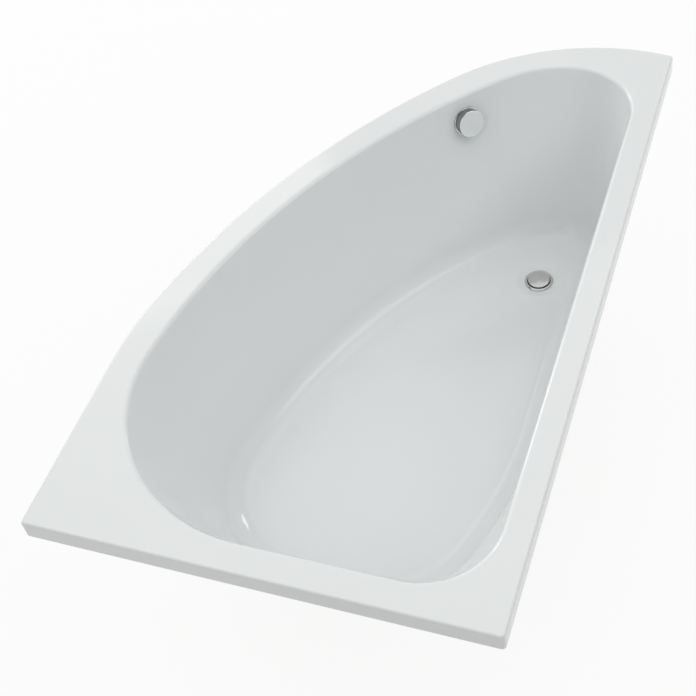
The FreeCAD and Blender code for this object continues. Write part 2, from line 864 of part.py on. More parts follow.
def make_trap_nut():
    inner = collar_radius + slip_clearance
    shoulder_low = collar_high + 2
    high = shoulder_low + nut_shoulder
    nut = cylinder(trap_nut_radius, nut_low, high, waste_axis)
    for step in range(16):
        rib = cylinder(1.6, nut_low, high, waste_axis + polar(trap_nut_radius, step * 22.5))
        nut = nut.fuse(rib)
    nut = nut.cut(cylinder(inner, nut_low - 1, shoulder_low, waste_axis))
    return nut.cut(cylinder(body_neck_radius + slip_clearance, shoulder_low - 1, high + 1, waste_axis))


def make_trap_seal():
    return ring(collar_radius, body_neck_radius + slip_clearance, collar_high, collar_high + 2, waste_axis)


def make_trap_cleaning_cap():
    cap = cylinder(cap_radius, trap_low - cap_height, trap_low, waste_axis)
    cap = cap.makeFillet(1.5, level_edges(cap, trap_low - cap_height))
    spigot = ring(cap_spigot_radius, cap_spigot_radius - 2,
                  trap_low - 1, trap_low + cap_spigot_length, waste_axis)
    cap = cap.fuse(spigot)
    grip = block(waste_x - 18, waste_x + 18, waste_y - 2, waste_y + 2,
                 trap_low - cap_height - 1, trap_low - 4)
    return cap.cut(grip)


def along_outlet(radius, start, length):
    """Cylinder on the outlet axis; start is counted outwards from the waste axis."""
    far_end = Vec(waste_x - start - length, waste_y, outlet_height)
    return Part.makeCylinder(radius, length, far_end, Vec(1, 0, 0))


def make_outlet_seal():
    start = outlet_reach
    return along_outlet(outlet_outer, start, outlet_seal_length).cut(
        along_outlet(outlet_bore, start - 1, outlet_seal_length + 2))


def make_outlet_nut():
    start = outlet_reach + outlet_seal_length + nut_shoulder - outlet_nut_length
    nut = along_outlet(outlet_nut_radius, start, outlet_nut_length)
    for step in range(16):
        angle = math.radians(step * 22.5)
        rib = along_outlet(1.6, start, outlet_nut_length)
        rib.translate(Vec(0, outlet_nut_radius * math.cos(angle), outlet_nut_radius * math.sin(angle)))
        nut = nut.fuse(rib)
    inner = along_outlet(outlet_outer + slip_clearance, start - 1, outlet_nut_length - nut_shoulder + 1)
    return nut.cut([inner, along_outlet(outlet_bore + 0.2, start, outlet_nut_length + 1)])


# ------------------------------------------------------------------- overflow

rosette_top = rosette_seat + rosette_thickness
knob_low = rosette_top + knob_gap
knob_top = knob_low + knob_height
chamber_top = -acrylic - slip_clearance - gasket_thickness
chamber_low = chamber_top - chamber_length
cam_top = -rosette_seat - rosette_hub_length - 2


def make_overflow_rosette():
    plate = cylinder(rosette_radius, rosette_seat, rosette_top)
    plate = plate.makeFillet(1.2, level_edges(plate, rosette_top))
    plate = plate.fuse(cylinder(rosette_hub_radius, -rosette_hub_length, rosette_seat + 1))
    plate = plate.cut(cylinder(spindle_radius + run_clearance, -rosette_hub_length - 1, rosette_top + 1))
    for spin in (45, 90, 135, 225, 270, 315):
        plate = plate.cut(cylinder(drip_hole_radius, -1, rosette_top + 1, polar(drip_hole_circle, spin)))
    screw_hole = m5_radius + screw_clearance
    for spin in (0, 180):
        plate = plate.cut(cylinder(screw_hole, -1, rosette_top + 1, polar(post_offset, spin)))
    return on_wall(plate)


def make_overflow_knob():
    knob = cylinder(knob_radius, knob_low, knob_top)
    knob = knob.makeFillet(1.6, level_edges(knob, knob_top))
    hollow = cylinder(knob_radius - knob_wall, knob_low - 1, knob_top - knob_wall - 1)
    boss = cylinder(knob_boss_radius, knob_low, knob_top)
    knob = knob.cut(hollow.cut(boss))
    return on_wall(knob.cut(cylinder(spindle_radius, knob_low - 1, knob_top - 4)))


def make_overflow_spindle():
    spindle = cylinder(spindle_radius, cam_top - cam_thickness - cam_back, knob_top - 4)
    return on_wall(spindle)


def make_cable_cam():
    low = cam_top - cam_thickness
    cam = cylinder(cam_radius, low, cam_top)
    tip = polar(cam_reach, 180)
    cam = cam.fuse(block(tip.x, 0, -3.5, 3.5, low, cam_top))
    cam = cam.fuse(cylinder(3.5, low, cam_top, tip))
    cam = cam.cut(cylinder(1.2, low - 1, cam_top + 1, tip))
    return on_wall(cam.cut(cylinder(spindle_radius, low - 1, cam_top + 1)))


def make_overflow_gasket():
    return on_wall(ring(chamber_flange_radius - 1, overflow_hole_radius + 1,
                        chamber_top, chamber_top + gasket_thickness))


def make_overflow_screws():
    screws = []
    for spin in (0, 180):
        centre = polar(post_offset, spin)
        shank = cylinder(m5_radius, rosette_top + 0.5 - m5_length, rosette_top + 0.5, centre)
        head = cylinder(m5_head_radius, rosette_top, rosette_top + m5_head_height, centre)
        head = head.makeFillet(0.8, level_edges(head, rosette_top + m5_head_height))
        slot = block(centre.x - 5, centre.x + 5, -0.5, 0.5, rosette_top + 1.2, rosette_top + 5)
        screws.append(on_wall(head.fuse(shank).cut(slot)))
    return Part.makeCompound(screws)


def hose_top():
    return outlet_axis.z - outlet_drop


def cable_top():
    return outlet_axis.z - cable_nipple_drop


def make_overflow_body():
    chamber = cylinder(chamber_radius, chamber_low, chamber_top)
    chamber = chamber.fuse(cylinder(chamber_flange_radius, chamber_top - chamber_flange, chamber_top))
    body = on_wall(chamber)
    nipple = cylinder(pipe_radius, hose_top(), outlet_axis.z)
    cable_place = Vec(cable_in_offset, cable_side_offset, 0)
    guide = cylinder(cable_nipple_radius, cable_top(), outlet_axis.z - 20, cable_place)
    body = body.fuse([on_hose_plane(nipple), on_hose_plane(guide)])
    hollow = cylinder(chamber_radius - chamber_wall, chamber_low + chamber_wall, chamber_top + 1)
    posts = [cylinder(post_radius, chamber_low, chamber_top - 4, polar(post_offset + 1.5, spin))
             for spin in (0, 180)]
    hollow = hollow.cut(posts)
    body = body.cut(on_wall(hollow))
    bore = cylinder(pipe_bore, hose_top() - 1, outlet_axis.z)
    wire_hole = cylinder(1.2, cable_top() - 1, outlet_axis.z - 10, cable_place)
    body = body.cut([on_hose_plane(bore), on_hose_plane(wire_hole)])
    for spin in (0, 180):
        hole = cylinder(post_hole_radius, chamber_low + 8, chamber_top + 1, polar(post_offset, spin))
        body = body.cut(on_wall(hole))
    return body


# ------------------------------------------------------------- hose and cable

def route_frame(bend, start_z, end_x, drop_x, run_z):
    """Length and place function of a route: down, one quarter bend, level."""
    down = start_z - (run_z + bend)
    turn = math.pi / 2 * bend
    level = end_x - (drop_x + bend)

    def place(distance):
        if distance <= down:
            return Vec(drop_x, 0, start_z - distance), Vec(0, 0, -1)
        if distance <= down + turn:
            angle = (distance - down) / bend
            point = Vec(drop_x + bend - bend * math.cos(angle), 0, run_z + bend - bend * math.sin(angle))
            return point, Vec(math.sin(angle), 0, -math.cos(angle))
        return Vec(drop_x + bend + distance - down - turn, 0, run_z), Vec(1, 0, 0)

    return down + turn + level, place


def circle_wire(point, direction, radius):
    side = Vec(0, 1, 0)
    placed = Part.Circle(Vec(0, 0, 0), UP, radius).toShape()
    turn = FreeCAD.Rotation(side, direction.cross(side), direction, "XZY")
    placed.Placement = FreeCAD.Placement(point, turn)
    return Part.Wire(placed)


def hose_profile(total):
    """Distances and radii along the hose: plain ends, four circles to each rib."""
    cuff = 2 * hose_crest
    count = int((total - 2 * cuff) / rib_pitch)
    start = (total - count * rib_pitch) / 2
    profile = [(0, hose_root)]
    for rib in range(count):
        base = start + rib * rib_pitch
        profile.append((base + 0.10 * rib_pitch, hose_root))
        profile.append((base + 0.30 * rib_pitch, hose_crest))
        profile.append((base + 0.70 * rib_pitch, hose_crest))
        profile.append((base + 0.90 * rib_pitch, hose_root))
    profile.append((total, hose_root))
    return profile


def make_overflow_hose():
    total, place = route_frame(hose_bend, hose_top(), inlet_end, 0, inlet_height)
    profile = hose_profile(total)
    outer = [circle_wire(*place(distance), radius) for distance, radius in profile]
    inner = [circle_wire(*place(distance), hose_bore) for distance, _ in profile]
    hose = Part.makeLoft(outer, True, True).cut(Part.makeLoft(inner, True, True))
    print("hose length", round(total, 1), "bend", hose_bend, "ribs", (len(profile) - 2) // 4)
    return on_hose_plane(hose)


def make_control_cable():
    bend = hose_bend - cable_in_offset
    run = inlet_height + cable_in_offset
    end_x = hose_span - lever_reach - housing_length / 2
    low = run + bend
    top = Vec(cable_in_offset, cable_side_offset, cable_top())
    bend_start = Vec(top.x, top.y, low)
    middle = Vec(top.x + bend * (1 - math.sqrt(0.5)), top.y, run + bend * (1 - math.sqrt(0.5)))
    bend_end = Vec(top.x + bend, top.y, run)
    finish = Vec(end_x, top.y, run)
    path = Part.Wire([
        Part.LineSegment(top, bend_start).toShape(),
        Part.Arc(bend_start, middle, bend_end).toShape(),
        Part.LineSegment(bend_end, finish).toShape(),
    ])
    section = Part.Wire(Part.Circle(top, UP, cable_radius).toShape())
    cable = path.makePipeShell([section], True, False)
    expected = math.pi * cable_radius ** 2 * path.Length
    ratio = round(cable.Volume / expected, 4)
    print("cable length", round(path.Length, 1), "bend", bend, "volume ratio", ratio)
    return on_hose_plane(cable)


def make_hose_nut(along_x):
    """Coupling nut over pipe end and hose end."""
    bore = hose_crest + slip_clearance
    nut = cylinder(hose_nut_radius, -hose_nut_length / 2, hose_nut_length / 2)
    for step in range(12):
        rib = cylinder(1.4, -hose_nut_length / 2, hose_nut_length / 2, polar(hose_nut_radius, step * 30))
        nut = nut.fuse(rib)
    nut = nut.cut(cylinder(bore, -hose_nut_length, hose_nut_length))
    if along_x:
        nut.rotate(Vec(0, 0, 0), Vec(0, 1, 0), 90)
        nut.translate(Vec(inlet_end, 0, inlet_height))
    else:
        nut.translate(Vec(0, 0, hose_top()))
    return on_hose_plane(nut)


def make_clip(cable_x, cable_y):
    """Snap clip: a ring on the hose joined to a small ring on the cable."""
    half = clip_width / 2
    hose_hole = hose_crest + slip_clearance
    cable_hole = cable_radius + slip_clearance
    spot = Vec(cable_x, cable_y, 0)
    reach = spot.Length
    clip = cylinder(hose_hole + clip_wall, -half, half)
    web = block(0, reach, -clip_wall, clip_wall, -half, half)
    web.rotate(Vec(0, 0, 0), UP, math.degrees(math.atan2(cable_y, cable_x)))
    clip = clip.fuse([web, cylinder(cable_hole + clip_wall, -half, half, spot)])
    hose_way = cylinder(hose_hole, -clip_width, clip_width)
    return clip.cut([hose_way, cylinder(cable_hole, -clip_width, clip_width, spot)])


def make_cable_clips():
    clips = []
    for drop in clip_drops:
        clip = make_clip(cable_in_offset, cable_side_offset)
        clip.translate(Vec(0, 0, hose_top() - drop))
        clips.append(on_hose_plane(clip))
    clip = make_clip(-cable_in_offset, cable_side_offset)
    clip.rotate(Vec(0, 0, 0), Vec(0, 1, 0), 90)
    clip.translate(Vec(inlet_end - clip_from_inlet, 0, inlet_height))
    clips.append(on_hose_plane(clip))
    return Part.makeCompound(clips)


# ----------------------------------------------------------------------- build

def build():
    os.makedirs("parts", exist_ok=True)
    save("bath_shell", make_bath_shell())
    save("fibreglass_backing", make_laminate())
    save("base_board", make_base_board())
    save("back_batten", make_back_batten())
    save("end_batten", make_end_batten())
    save("ledge_board", make_ledge_board())
    save("wide_leg_rail", make_rail(wide_rail_x, rail_feet(wide_rail_x, wide_feet_out)))
    save("narrow_leg_rail", make_rail(narrow_rail_x, rail_feet(narrow_rail_x, narrow_feet_out)))
    save("rail_screws", make_rail_screws())
    save("rail_nuts", make_rail_nuts())
    for place, centre in feet_places().items():
        save("foot_stud_" + place, make_foot_stud(centre))
        save("foot_pad_" + place, make_foot_pad(centre))
    save("waste_flange", make_waste_flange())
    save("plug_guide", make_plug_guide())
    save("waste_flange_seal", make_waste_flange_seal())
    save("plug_cap", make_plug_cap())
    save("plug_seal", make_plug_seal())
    save("plug_stem", make_plug_stem())
    save("waste_gasket", make_waste_gasket())
    save("waste_body", make_waste_body())
    save("lifter_lever", make_lifter_lever())
    save("lever_pin", make_lever_pin())
    save("trap_body", make_trap_body())
    save("trap_nut", make_trap_nut())
    save("trap_seal", make_trap_seal())
    save("trap_cleaning_cap", make_trap_cleaning_cap())
    save("outlet_seal", make_outlet_seal())
    save("outlet_nut", make_outlet_nut())
    save("overflow_rosette", make_overflow_rosette())
    save("overflow_knob", make_overflow_knob())
    save("overflow_spindle", make_overflow_spindle())
    save("cable_cam", make_cable_cam())
    save("overflow_gasket", make_overflow_gasket())
    save("overflow_screws", make_overflow_screws())
    save("overflow_body", make_overflow_body())
    save("overflow_hose", make_overflow_hose())
    save("upper_hose_nut", make_hose_nut(False))
    save("lower_hose_nut", make_hose_nut(True))
    save("control_cable", make_control_cable())
    save("cable_clips", make_cable_clips())


build()
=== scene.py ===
import math

import bmesh
import bpy
from mathutils import Matrix, Vector


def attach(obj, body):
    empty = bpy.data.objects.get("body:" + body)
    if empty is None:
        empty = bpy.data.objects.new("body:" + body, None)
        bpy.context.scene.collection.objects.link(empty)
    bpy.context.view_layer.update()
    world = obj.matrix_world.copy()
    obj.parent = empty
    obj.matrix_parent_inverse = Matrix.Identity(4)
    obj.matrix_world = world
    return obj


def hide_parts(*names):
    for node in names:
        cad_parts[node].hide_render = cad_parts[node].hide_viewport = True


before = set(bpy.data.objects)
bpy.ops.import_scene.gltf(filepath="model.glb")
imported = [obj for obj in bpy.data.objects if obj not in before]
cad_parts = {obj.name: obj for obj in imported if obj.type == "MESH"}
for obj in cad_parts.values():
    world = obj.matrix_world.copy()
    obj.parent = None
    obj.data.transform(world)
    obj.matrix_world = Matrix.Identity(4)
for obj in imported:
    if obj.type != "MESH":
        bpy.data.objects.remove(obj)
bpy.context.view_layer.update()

print("frame loaded:", len(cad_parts), "nodes")

quarter = math.pi / 2
tiny = 0.00002           # points this close are level, and the least radius on an axis
weldDistance = 0.00001
flatReach = 0.0001       # how near to a height a flat face has to lie
flatNormal = 0.99
uprightNormal = 0.6      # a face whose normal rises less than this is upright
profileSteps = 4         # steps in each rounded corner of a turned profile


def clearSelection():
    if bpy.context.mode != "OBJECT":
        bpy.ops.object.mode_set(mode="OBJECT")
    bpy.ops.object.select_all(action="DESELECT")


def pick(piece):
    clearSelection()
    piece.select_set(True)
    bpy.context.view_layer.objects.active = piece


def startRing(name, points):
    # a circle with one vertex for each point of the first outline
    clearSelection()
    bpy.ops.mesh.primitive_circle_add(vertices=len(points), radius=0.1, location=(0, 0, 0))
    piece = bpy.context.active_object
    piece.name = name
    piece.data.name = name
    for vertex, point in zip(piece.data.vertices, points):
        vertex.co = point
    return piece


def drawRings(name, outlines):
    # extrudes the first outline through all the others, one ring at a time
    piece = startRing(name, outlines[0])
    pick(piece)
    bpy.ops.object.mode_set(mode="EDIT")
    bpy.ops.mesh.select_mode(type="EDGE")
    bpy.ops.mesh.select_all(action="SELECT")
    pointOf = {index: index for index in range(len(outlines[0]))}
    for outline in outlines[1:]:
        bpy.ops.mesh.extrude_edges_move()
        cage = bmesh.from_edit_mesh(piece.data)
        cage.verts.index_update()
        cage.verts.ensure_lookup_table()
        fresh = {}
        for vertex in cage.verts[len(cage.verts) - len(outline):]:
            for edge in vertex.link_edges:
                other = edge.other_vert(vertex).index
                if other in pointOf:
                    fresh[vertex.index] = pointOf[other]
                    vertex.co = outline[pointOf[other]]
        pointOf = fresh
        bmesh.update_edit_mesh(piece.data)
    bpy.ops.object.mode_set(mode="OBJECT")
    return piece


def joinPieces(first, *others):
    clearSelection()
    for other in others:
        other.select_set(True)
    first.select_set(True)
    bpy.context.view_layer.objects.active = first
    bpy.ops.object.join()
    return first


def fillFlat(piece, height):
    # fills between the open outlines at one height
    pick(piece)
    bpy.ops.object.mode_set(mode="EDIT")
    bpy.ops.mesh.select_mode(type="EDGE")
    bpy.ops.mesh.select_all(action="DESELECT")
    cage = bmesh.from_edit_mesh(piece.data)
    for edge in cage.edges:
        level = all(abs(vertex.co.z - height) < tiny for vertex in edge.verts)
        edge.select = len(edge.link_faces) < 2 and level
    cage.select_flush_mode()
    bmesh.update_edit_mesh(piece.data)
    bpy.ops.mesh.fill(use_beauty=True)
    bpy.ops.object.mode_set(mode="OBJECT")


def openWhole(piece):
    # edit mode with all of the mesh selected
    pick(piece)
    bpy.ops.object.mode_set(mode="EDIT")
    bpy.ops.mesh.select_all(action="SELECT")


def turnOutwards(piece):
    openWhole(piece)
    bpy.ops.mesh.remove_doubles(threshold=weldDistance)
    bpy.ops.mesh.normals_make_consistent(inside=False)
    bpy.ops.object.mode_set(mode="OBJECT")


def flipOver(piece):
    openWhole(piece)
    bpy.ops.mesh.flip_normals()
    bpy.ops.object.mode_set(mode="OBJECT")


def faceUpwards(piece, height):
    # an open sheet has no inside, so its flat part at this height tells which way it looks
    turnOutwards(piece)
    total = 0.0
    for polygon in piece.data.polygons:
        near = abs(polygon.center.z - height) < flatReach
        if near and abs(polygon.normal.z) > flatNormal:
            total += polygon.normal.z * polygon.area
    if total < 0:
        flipOver(piece)


def giveWall(piece, thickness):
    pick(piece)
    wall = piece.modifiers.new("wall", "SOLIDIFY")
    wall.thickness = thickness
    wall.offset = -1.0
    wall.use_even_offset = True
    bpy.ops.object.modifier_apply(modifier="wall")


def cutWith(piece, tool):
    pick(piece)
    cut = piece.modifiers.new("cut", "BOOLEAN")
    cut.operation = "DIFFERENCE"
    cut.solver = "EXACT"
    cut.object = tool
    bpy.ops.object.modifier_apply(modifier="cut")
    bpy.data.objects.remove(tool)


def smooth(piece, degrees):
    pick(piece)
    bpy.ops.object.shade_smooth_by_angle(angle=math.radians(degrees))


def setPlace(piece, matrix):
    # puts the place into the mesh, so the object stays at the origin
    piece.data.transform(matrix)
    piece.data.update()


def circleAt(radius, height, count, centre=(0, 0)):
    return [Vector((centre[0] + radius * math.cos(step * math.tau / count),
                    centre[1] + radius * math.sin(step * math.tau / count), height))
            for step in range(count)]


def polar(radius, degrees):
    angle = math.radians(degrees)
    return Vector((radius * math.cos(angle), radius * math.sin(angle), 0))


def mix(top, low, share):
    return top + (low - top) * share


# the bath's outlines, as in the solid model: pairs go from the rim to the floor
bath = {
    "length": 1.6, "width": 0.95, "rimTop": 0.58, "depth": 0.415,
    "lip": 0.042, "wall": 0.005, "topEdge": 0.005, "corner": 0.008, "bowlEdge": 0.011,
    "frontRadii": (0.889, 1.816, 0.525), "frontTurns": (13.1, 29.5),
    "turns": (97.4, 35.3, 40.8, 96.5, 69.0, 21.0),
    "openingRadii": (0.1554, 0.2736, 1.5724, 0.358, 0.15, 0.15),
    "floorRadii": (0.068, 0.283, 1.262, 0.242, 0.21, 1.05),
    "backMargins": (0.0568, 0.13), "startMargins": (0.2457, 0.308),
    "cove": 0.046, "leastCorner": 0.0003, "endArc": 4,
    # points along the bowl, along the rim and across the rounded edges
    "arcSteps": (60, 24, 56, 72, 72, 22), "endSteps": 24, "backSteps": 48,
    "frontSteps": (16, 40, 36), "sideSteps": (40, 24, 10), "cornerSteps": 8,
    "topEdgeSteps": 6, "bowlEdgeSteps": 9, "coveSteps": 14,
    "wallShares": (0.004, 0.015, 0.035) + tuple(step / 18 for step in range(1, 19)),
    # flat strips beside the edges, and how far the wall stays inside the solid
    "lowStrip": 0.002, "highStrip": 0.015, "edgeStrip": 0.0015, "floorStrip": 0.002,
    "slack": 0.0001, "smooth": 40,
}

waste = {"x": -0.39, "y": 0.2345, "hole": 0.026, "recess": 0.005, "dishFrom": 0.058,
         "dishTo": 0.039, "seatRing": 0.032, "strip": 0.002, "steps": 96, "dishSteps": 10}


def bowlStart(share):
    # where the loop of the bowl starts, share 0 at the rim and 1 at the floor
    s = bath
    return (mix(*s["startMargins"], share) - s["length"] / 2,
            s["width"] / 2 - mix(*s["backMargins"], share))


def bowlOutline(share, inset, height):
    # points and outward directions of the bowl at one level
    s = bath
    startX, startY = bowlStart(share)
    point = Vector((startX, startY - inset, height))
    start = point.copy()
    heading = 180.0
    arcs = []
    rows = zip(s["openingRadii"], s["floorRadii"], s["turns"], s["arcSteps"])
    for top, low, turn, steps in rows:
        radius = mix(top, low, share) - inset
        centre = point + polar(radius, heading + 90)
        arcs.append((centre, radius, heading - 90, turn, steps))
        heading += turn
        point = centre + polar(radius, heading - 90)
    # the wide end is a straight run that takes up what the arcs leave
    run = Vector((0, start.y - point.y, 0))
    points, outward = [], []
    for index, (centre, radius, direction, turn, steps) in enumerate(arcs):
        if index == s["endArc"]:
            corner = centre + polar(radius, direction)
            for step in range(s["endSteps"]):
                points.append(corner + run * (step / s["endSteps"]))
                outward.append(polar(1, direction))
        shift = run if index >= s["endArc"] else Vector()
        for step in range(steps):
            side = direction + turn * step / steps
            points.append(centre + shift + polar(radius, side))
            outward.append(polar(1, side))
    last = point + run
    for step in range(s["backSteps"]):
        points.append(last.lerp(start, step / s["backSteps"]))
        outward.append(Vector((0, 1, 0)))
    return points, outward


def rimOutline(inset, height):
    # outside plan of the rim, drawn in by inset, with its three corners rounded
    s = bath
    back = s["width"] / 2 - inset
    end = s["length"] / 2 - inset
    corner = max(s["corner"] - inset, s["leastCorner"])
    point = Vector((0, -s["width"] / 2, height))
    heading = 180.0
    centres = []
    for radius, turn in zip(s["frontRadii"], s["frontTurns"] + (0.0,)):
        centre = point + polar(radius, heading - 90)
        centres.append((centre, heading + 90))
        heading -= turn
        point = centre + polar(radius, heading + 90)
    shift = Vector((s["frontRadii"][-1] - s["length"] / 2 - centres[-1][0].x, 0, 0))
    radii = [radius - inset for radius in s["frontRadii"]]
    lastCentre = centres[-1][0] + shift
    reach = radii[-1] - corner
    cornerY = back - corner
    cornerX = lastCentre.x - math.sqrt(reach ** 2 - (cornerY - lastCentre.y) ** 2)
    meet = math.degrees(math.atan2(cornerY - lastCentre.y, cornerX - lastCentre.x))
    turns = list(s["frontTurns"]) + [centres[-1][1] - meet]
    points = []
    for (centre, start), radius, turn, steps in zip(centres, radii, turns, s["frontSteps"]):
        for step in range(steps):
            points.append(centre + shift + polar(radius, start - turn * step / steps))
    corners = [(Vector((cornerX, cornerY, height)), meet, 90.0),
               (Vector((end - corner, back - corner, height)), 90.0, 0.0),
               (Vector((end - corner, corner - back, height)), 0.0, -90.0)]
    arrivals = [corners[1][0] + polar(corner, 90), corners[2][0] + polar(corner, 0), points[0]]
    for (centre, start, stop), arrive, along in zip(corners, arrivals, s["sideSteps"]):
        for step in range(s["cornerSteps"]):
            turned = start + (stop - start) * step / s["cornerSteps"]
            points.append(centre + polar(corner, turned))
        leave = centre + polar(corner, stop)
        for step in range(along):
            points.append(leave.lerp(arrive, step / along))
    return points


def edgeArc(corner, sideA, sideB, radius, steps):
    # rounded edge between two flat directions that leave one corner point
    angle = sideA.angle(sideB)
    reach = radius / math.tan(angle / 2)
    centre = corner + (sideA + sideB).normalized() * radius / math.sin(angle / 2)
    fromA = corner + sideA * reach - centre
    fromB = corner + sideB * reach - centre
    sweep = fromA.angle(fromB)
    arc = []
    for step in range(steps + 1):
        share = step / steps
        mixed = fromA * math.sin((1 - share) * sweep) + fromB * math.sin(share * sweep)
        arc.append(centre + mixed / math.sin(sweep))
    return arc


overflow = {"arc": 2, "heading": 316.2, "depth": 0.0654, "hole": 0.026, "drill": 0.06,
            "drillSteps": 72}


def overflowWall(share):
    # point of the front wall's arc that faces the overflow's heading
    s = bath
    arc = overflow["arc"]
    startX, startY = bowlStart(share)
    point = Vector((startX, startY, 0))
    heading = 180.0
    for index in range(arc):
        radius = mix(s["openingRadii"][index], s["floorRadii"][index], share)
        centre = point + polar(radius, heading + 90)
        heading += s["turns"][index]
        point = centre + polar(radius, heading - 90)
    radius = mix(s["openingRadii"][arc], s["floorRadii"][arc], share)
    centre = point + polar(radius, heading + 90)
    return centre + polar(radius, overflow["heading"] - 90)


def overflowFrame():
    # place of the overflow on the wall, its z axis pointing into the bowl
    share = overflow["depth"] / bath["depth"]
    spot = overflowWall(share) + Vector((0, 0, bath["rimTop"] - overflow["depth"]))
    inwards = polar(1, overflow["heading"] + 90)
    lean = (overflowWall(1) - overflowWall(0)).dot(inwards) / bath["depth"]
    out = (inwards + Vector((0, 0, lean))).normalized()
    side = Vector((0, 0, 1)).cross(out).normalized()
    rise = out.cross(side)
    turn = Matrix((side, rise, out)).transposed().to_4x4()
    return Matrix.Translation(spot) @ turn


def overflowDrill(radius):
    clearSelection()
    bpy.ops.mesh.primitive_cylinder_add(vertices=overflow["drillSteps"], radius=radius,
                                        depth=overflow["drill"])
    drill = bpy.context.active_object
    drill.matrix_world = overflowFrame()
    return drill


def makeShell():
    s = bath
    top = s["rimTop"]
    edge = s["topEdge"]
    outer = [rimOutline(0, top - s["lip"]), rimOutline(0, top - s["lip"] + s["lowStrip"]),
             rimOutline(0, top - edge - s["highStrip"]),
             rimOutline(0, top - edge - s["edgeStrip"])]
    for step in range(s["topEdgeSteps"] + 1):
        angle = quarter * step / s["topEdgeSteps"]
        outer.append(rimOutline(edge * (1 - math.cos(angle)), top - edge * (1 - math.sin(angle))))
    outer.append(rimOutline(edge + s["edgeStrip"], top))
    rim = drawRings("rim", outer)

    opening, outward = bowlOutline(0, 0, top)
    straight = s["depth"] - s["cove"]
    foot = bowlOutline(straight / s["depth"], 0, top - straight)[0]
    edges = []
    for point, side, low in zip(opening, outward, foot):
        down = (low - point).normalized()
        arc = edgeArc(point, side, down, s["bowlEdge"], s["bowlEdgeSteps"])
        wall = [arc[-1].lerp(low, share) for share in s["wallShares"]]
        edges.append([arc[0] + side * s["edgeStrip"]] + arc + wall)
    rings = [list(ring) for ring in zip(*edges)]
    for step in range(1, s["coveSteps"] + 1):
        angle = quarter * step / s["coveSteps"]
        depth = straight + s["cove"] * math.sin(angle)
        inset = s["cove"] * (1 - math.cos(angle))
        rings.append(bowlOutline(depth / s["depth"], inset, top - depth)[0])
    rings.append(bowlOutline(1, s["cove"] + s["floorStrip"], top - s["depth"])[0])
    bowl = drawRings("bowl", rings)

    floor = top - s["depth"]
    w = waste
    centre = (w["x"], w["y"])
    dish = [circleAt(w["dishFrom"] + w["strip"], floor, w["steps"], centre)]
    for step in range(w["dishSteps"] + 1):
        share = step / w["dishSteps"]
        drop = w["recess"] * share * share * (3 - 2 * share)
        radius = mix(w["dishFrom"], w["dishTo"], share)
        dish.append(circleAt(radius, floor - drop, w["steps"], centre))
    for radius in (w["dishTo"] - w["strip"], w["seatRing"], w["hole"]):
        dish.append(circleAt(radius, floor - w["recess"], w["steps"], centre))
    recess = drawRings("recess", dish)

    shell = joinPieces(rim, bowl, recess)
    shell.name = "bathShell"
    fillFlat(shell, top)
    fillFlat(shell, floor)
    faceUpwards(shell, top)
    giveWall(shell, s["wall"] - s["slack"])
    cutWith(shell, overflowDrill(overflow["hole"]))
    smooth(shell, s["smooth"])
    return shell


# glass fibre on the back of the bowl
backing = {"gap": 0.0003, "thickness": 0.003, "bossHole": 0.062, "overflowHole": 0.036,
           "wallShares": (0, 0.004, 0.1, 0.25, 0.4, 0.55, 0.7, 0.85, 1), "coveSteps": 12,
           "strip": 0.002, "holeSteps": 72, "smooth": 40}


def makeBacking():
    s = bath
    b = backing
    inner = s["wall"] + b["gap"]
    outer = inner + b["thickness"]
    top = s["rimTop"]
    straight = s["depth"] - s["cove"]
    rings = []
    for share in b["wallShares"]:
        depth = mix(inner, straight, share)
        rings.append(bowlOutline(depth / s["depth"], -outer, top - depth)[0])
    for step in range(1, b["coveSteps"] + 1):
        angle = quarter * step / b["coveSteps"]
        depth = straight + s["cove"] * math.sin(angle)
        inset = s["cove"] * (1 - math.cos(angle)) - outer * math.cos(angle)
        height = top - depth - outer * math.sin(angle)
        rings.append(bowlOutline(depth / s["depth"], inset, height)[0])
    low = top - s["depth"] - outer
    rings.append(bowlOutline(1, s["cove"] + b["strip"], low)[0])
    sheet = drawRings("fibreglassBacking", rings)
    centre = (waste["x"], waste["y"])
    hole = drawRings("bossHole", [circleAt(radius, low, b["holeSteps"], centre)
                                  for radius in (b["bossHole"] + b["strip"], b["bossHole"])])
    sheet = joinPieces(sheet, hole)
    fillFlat(sheet, low)
    faceUpwards(sheet, low)
    flipOver(sheet)
    giveWall(sheet, b["thickness"])
    cutWith(sheet, overflowDrill(b["overflowHole"]))
    smooth(sheet, b["smooth"])
    return sheet


def drawTurned(name, profile, count, flutes=None):
    # profile is a run of (radius, height), a radius of 0 closes on the axis
    rings = []
    for radius, height in profile:
        ring = circleAt(max(radius, tiny), height, count)
        if flutes and flutes["low"] < height < flutes["high"] and radius > flutes["from"]:
            fade = min(1, (height - flutes["low"]) / flutes["fadeLow"],
                       (flutes["high"] - height) / flutes["fadeHigh"])
            for index, point in enumerate(ring):
                wave = 0.5 - 0.5 * math.cos(math.tau * flutes["count"] * index / count)
                shrink = 1 - flutes["depth"] * fade * wave ** flutes["sharp"] / radius
                ring[index] = Vector((point.x * shrink, point.y * shrink, point.z))
        rings.append(ring)
    piece = drawRings(name, rings)
    turnOutwards(piece)
    return piece


def roundedProfile(corners):
    # (radius, height, rounding) corners to a run of points
    run = []
    for index, (x, z, rounding) in enumerate(corners):
        if rounding == 0 or index in (0, len(corners) - 1):
            run.append((x, z))
            continue
        here = Vector((x, z))
        before = (Vector(corners[index - 1][:2]) - here).normalized()
        after = (Vector(corners[index + 1][:2]) - here).normalized()
        arc = edgeArc(here.to_3d(), before.to_3d(), after.to_3d(), rounding, profileSteps)
        run += [(point.x, point.y) for point in arc]
    return run


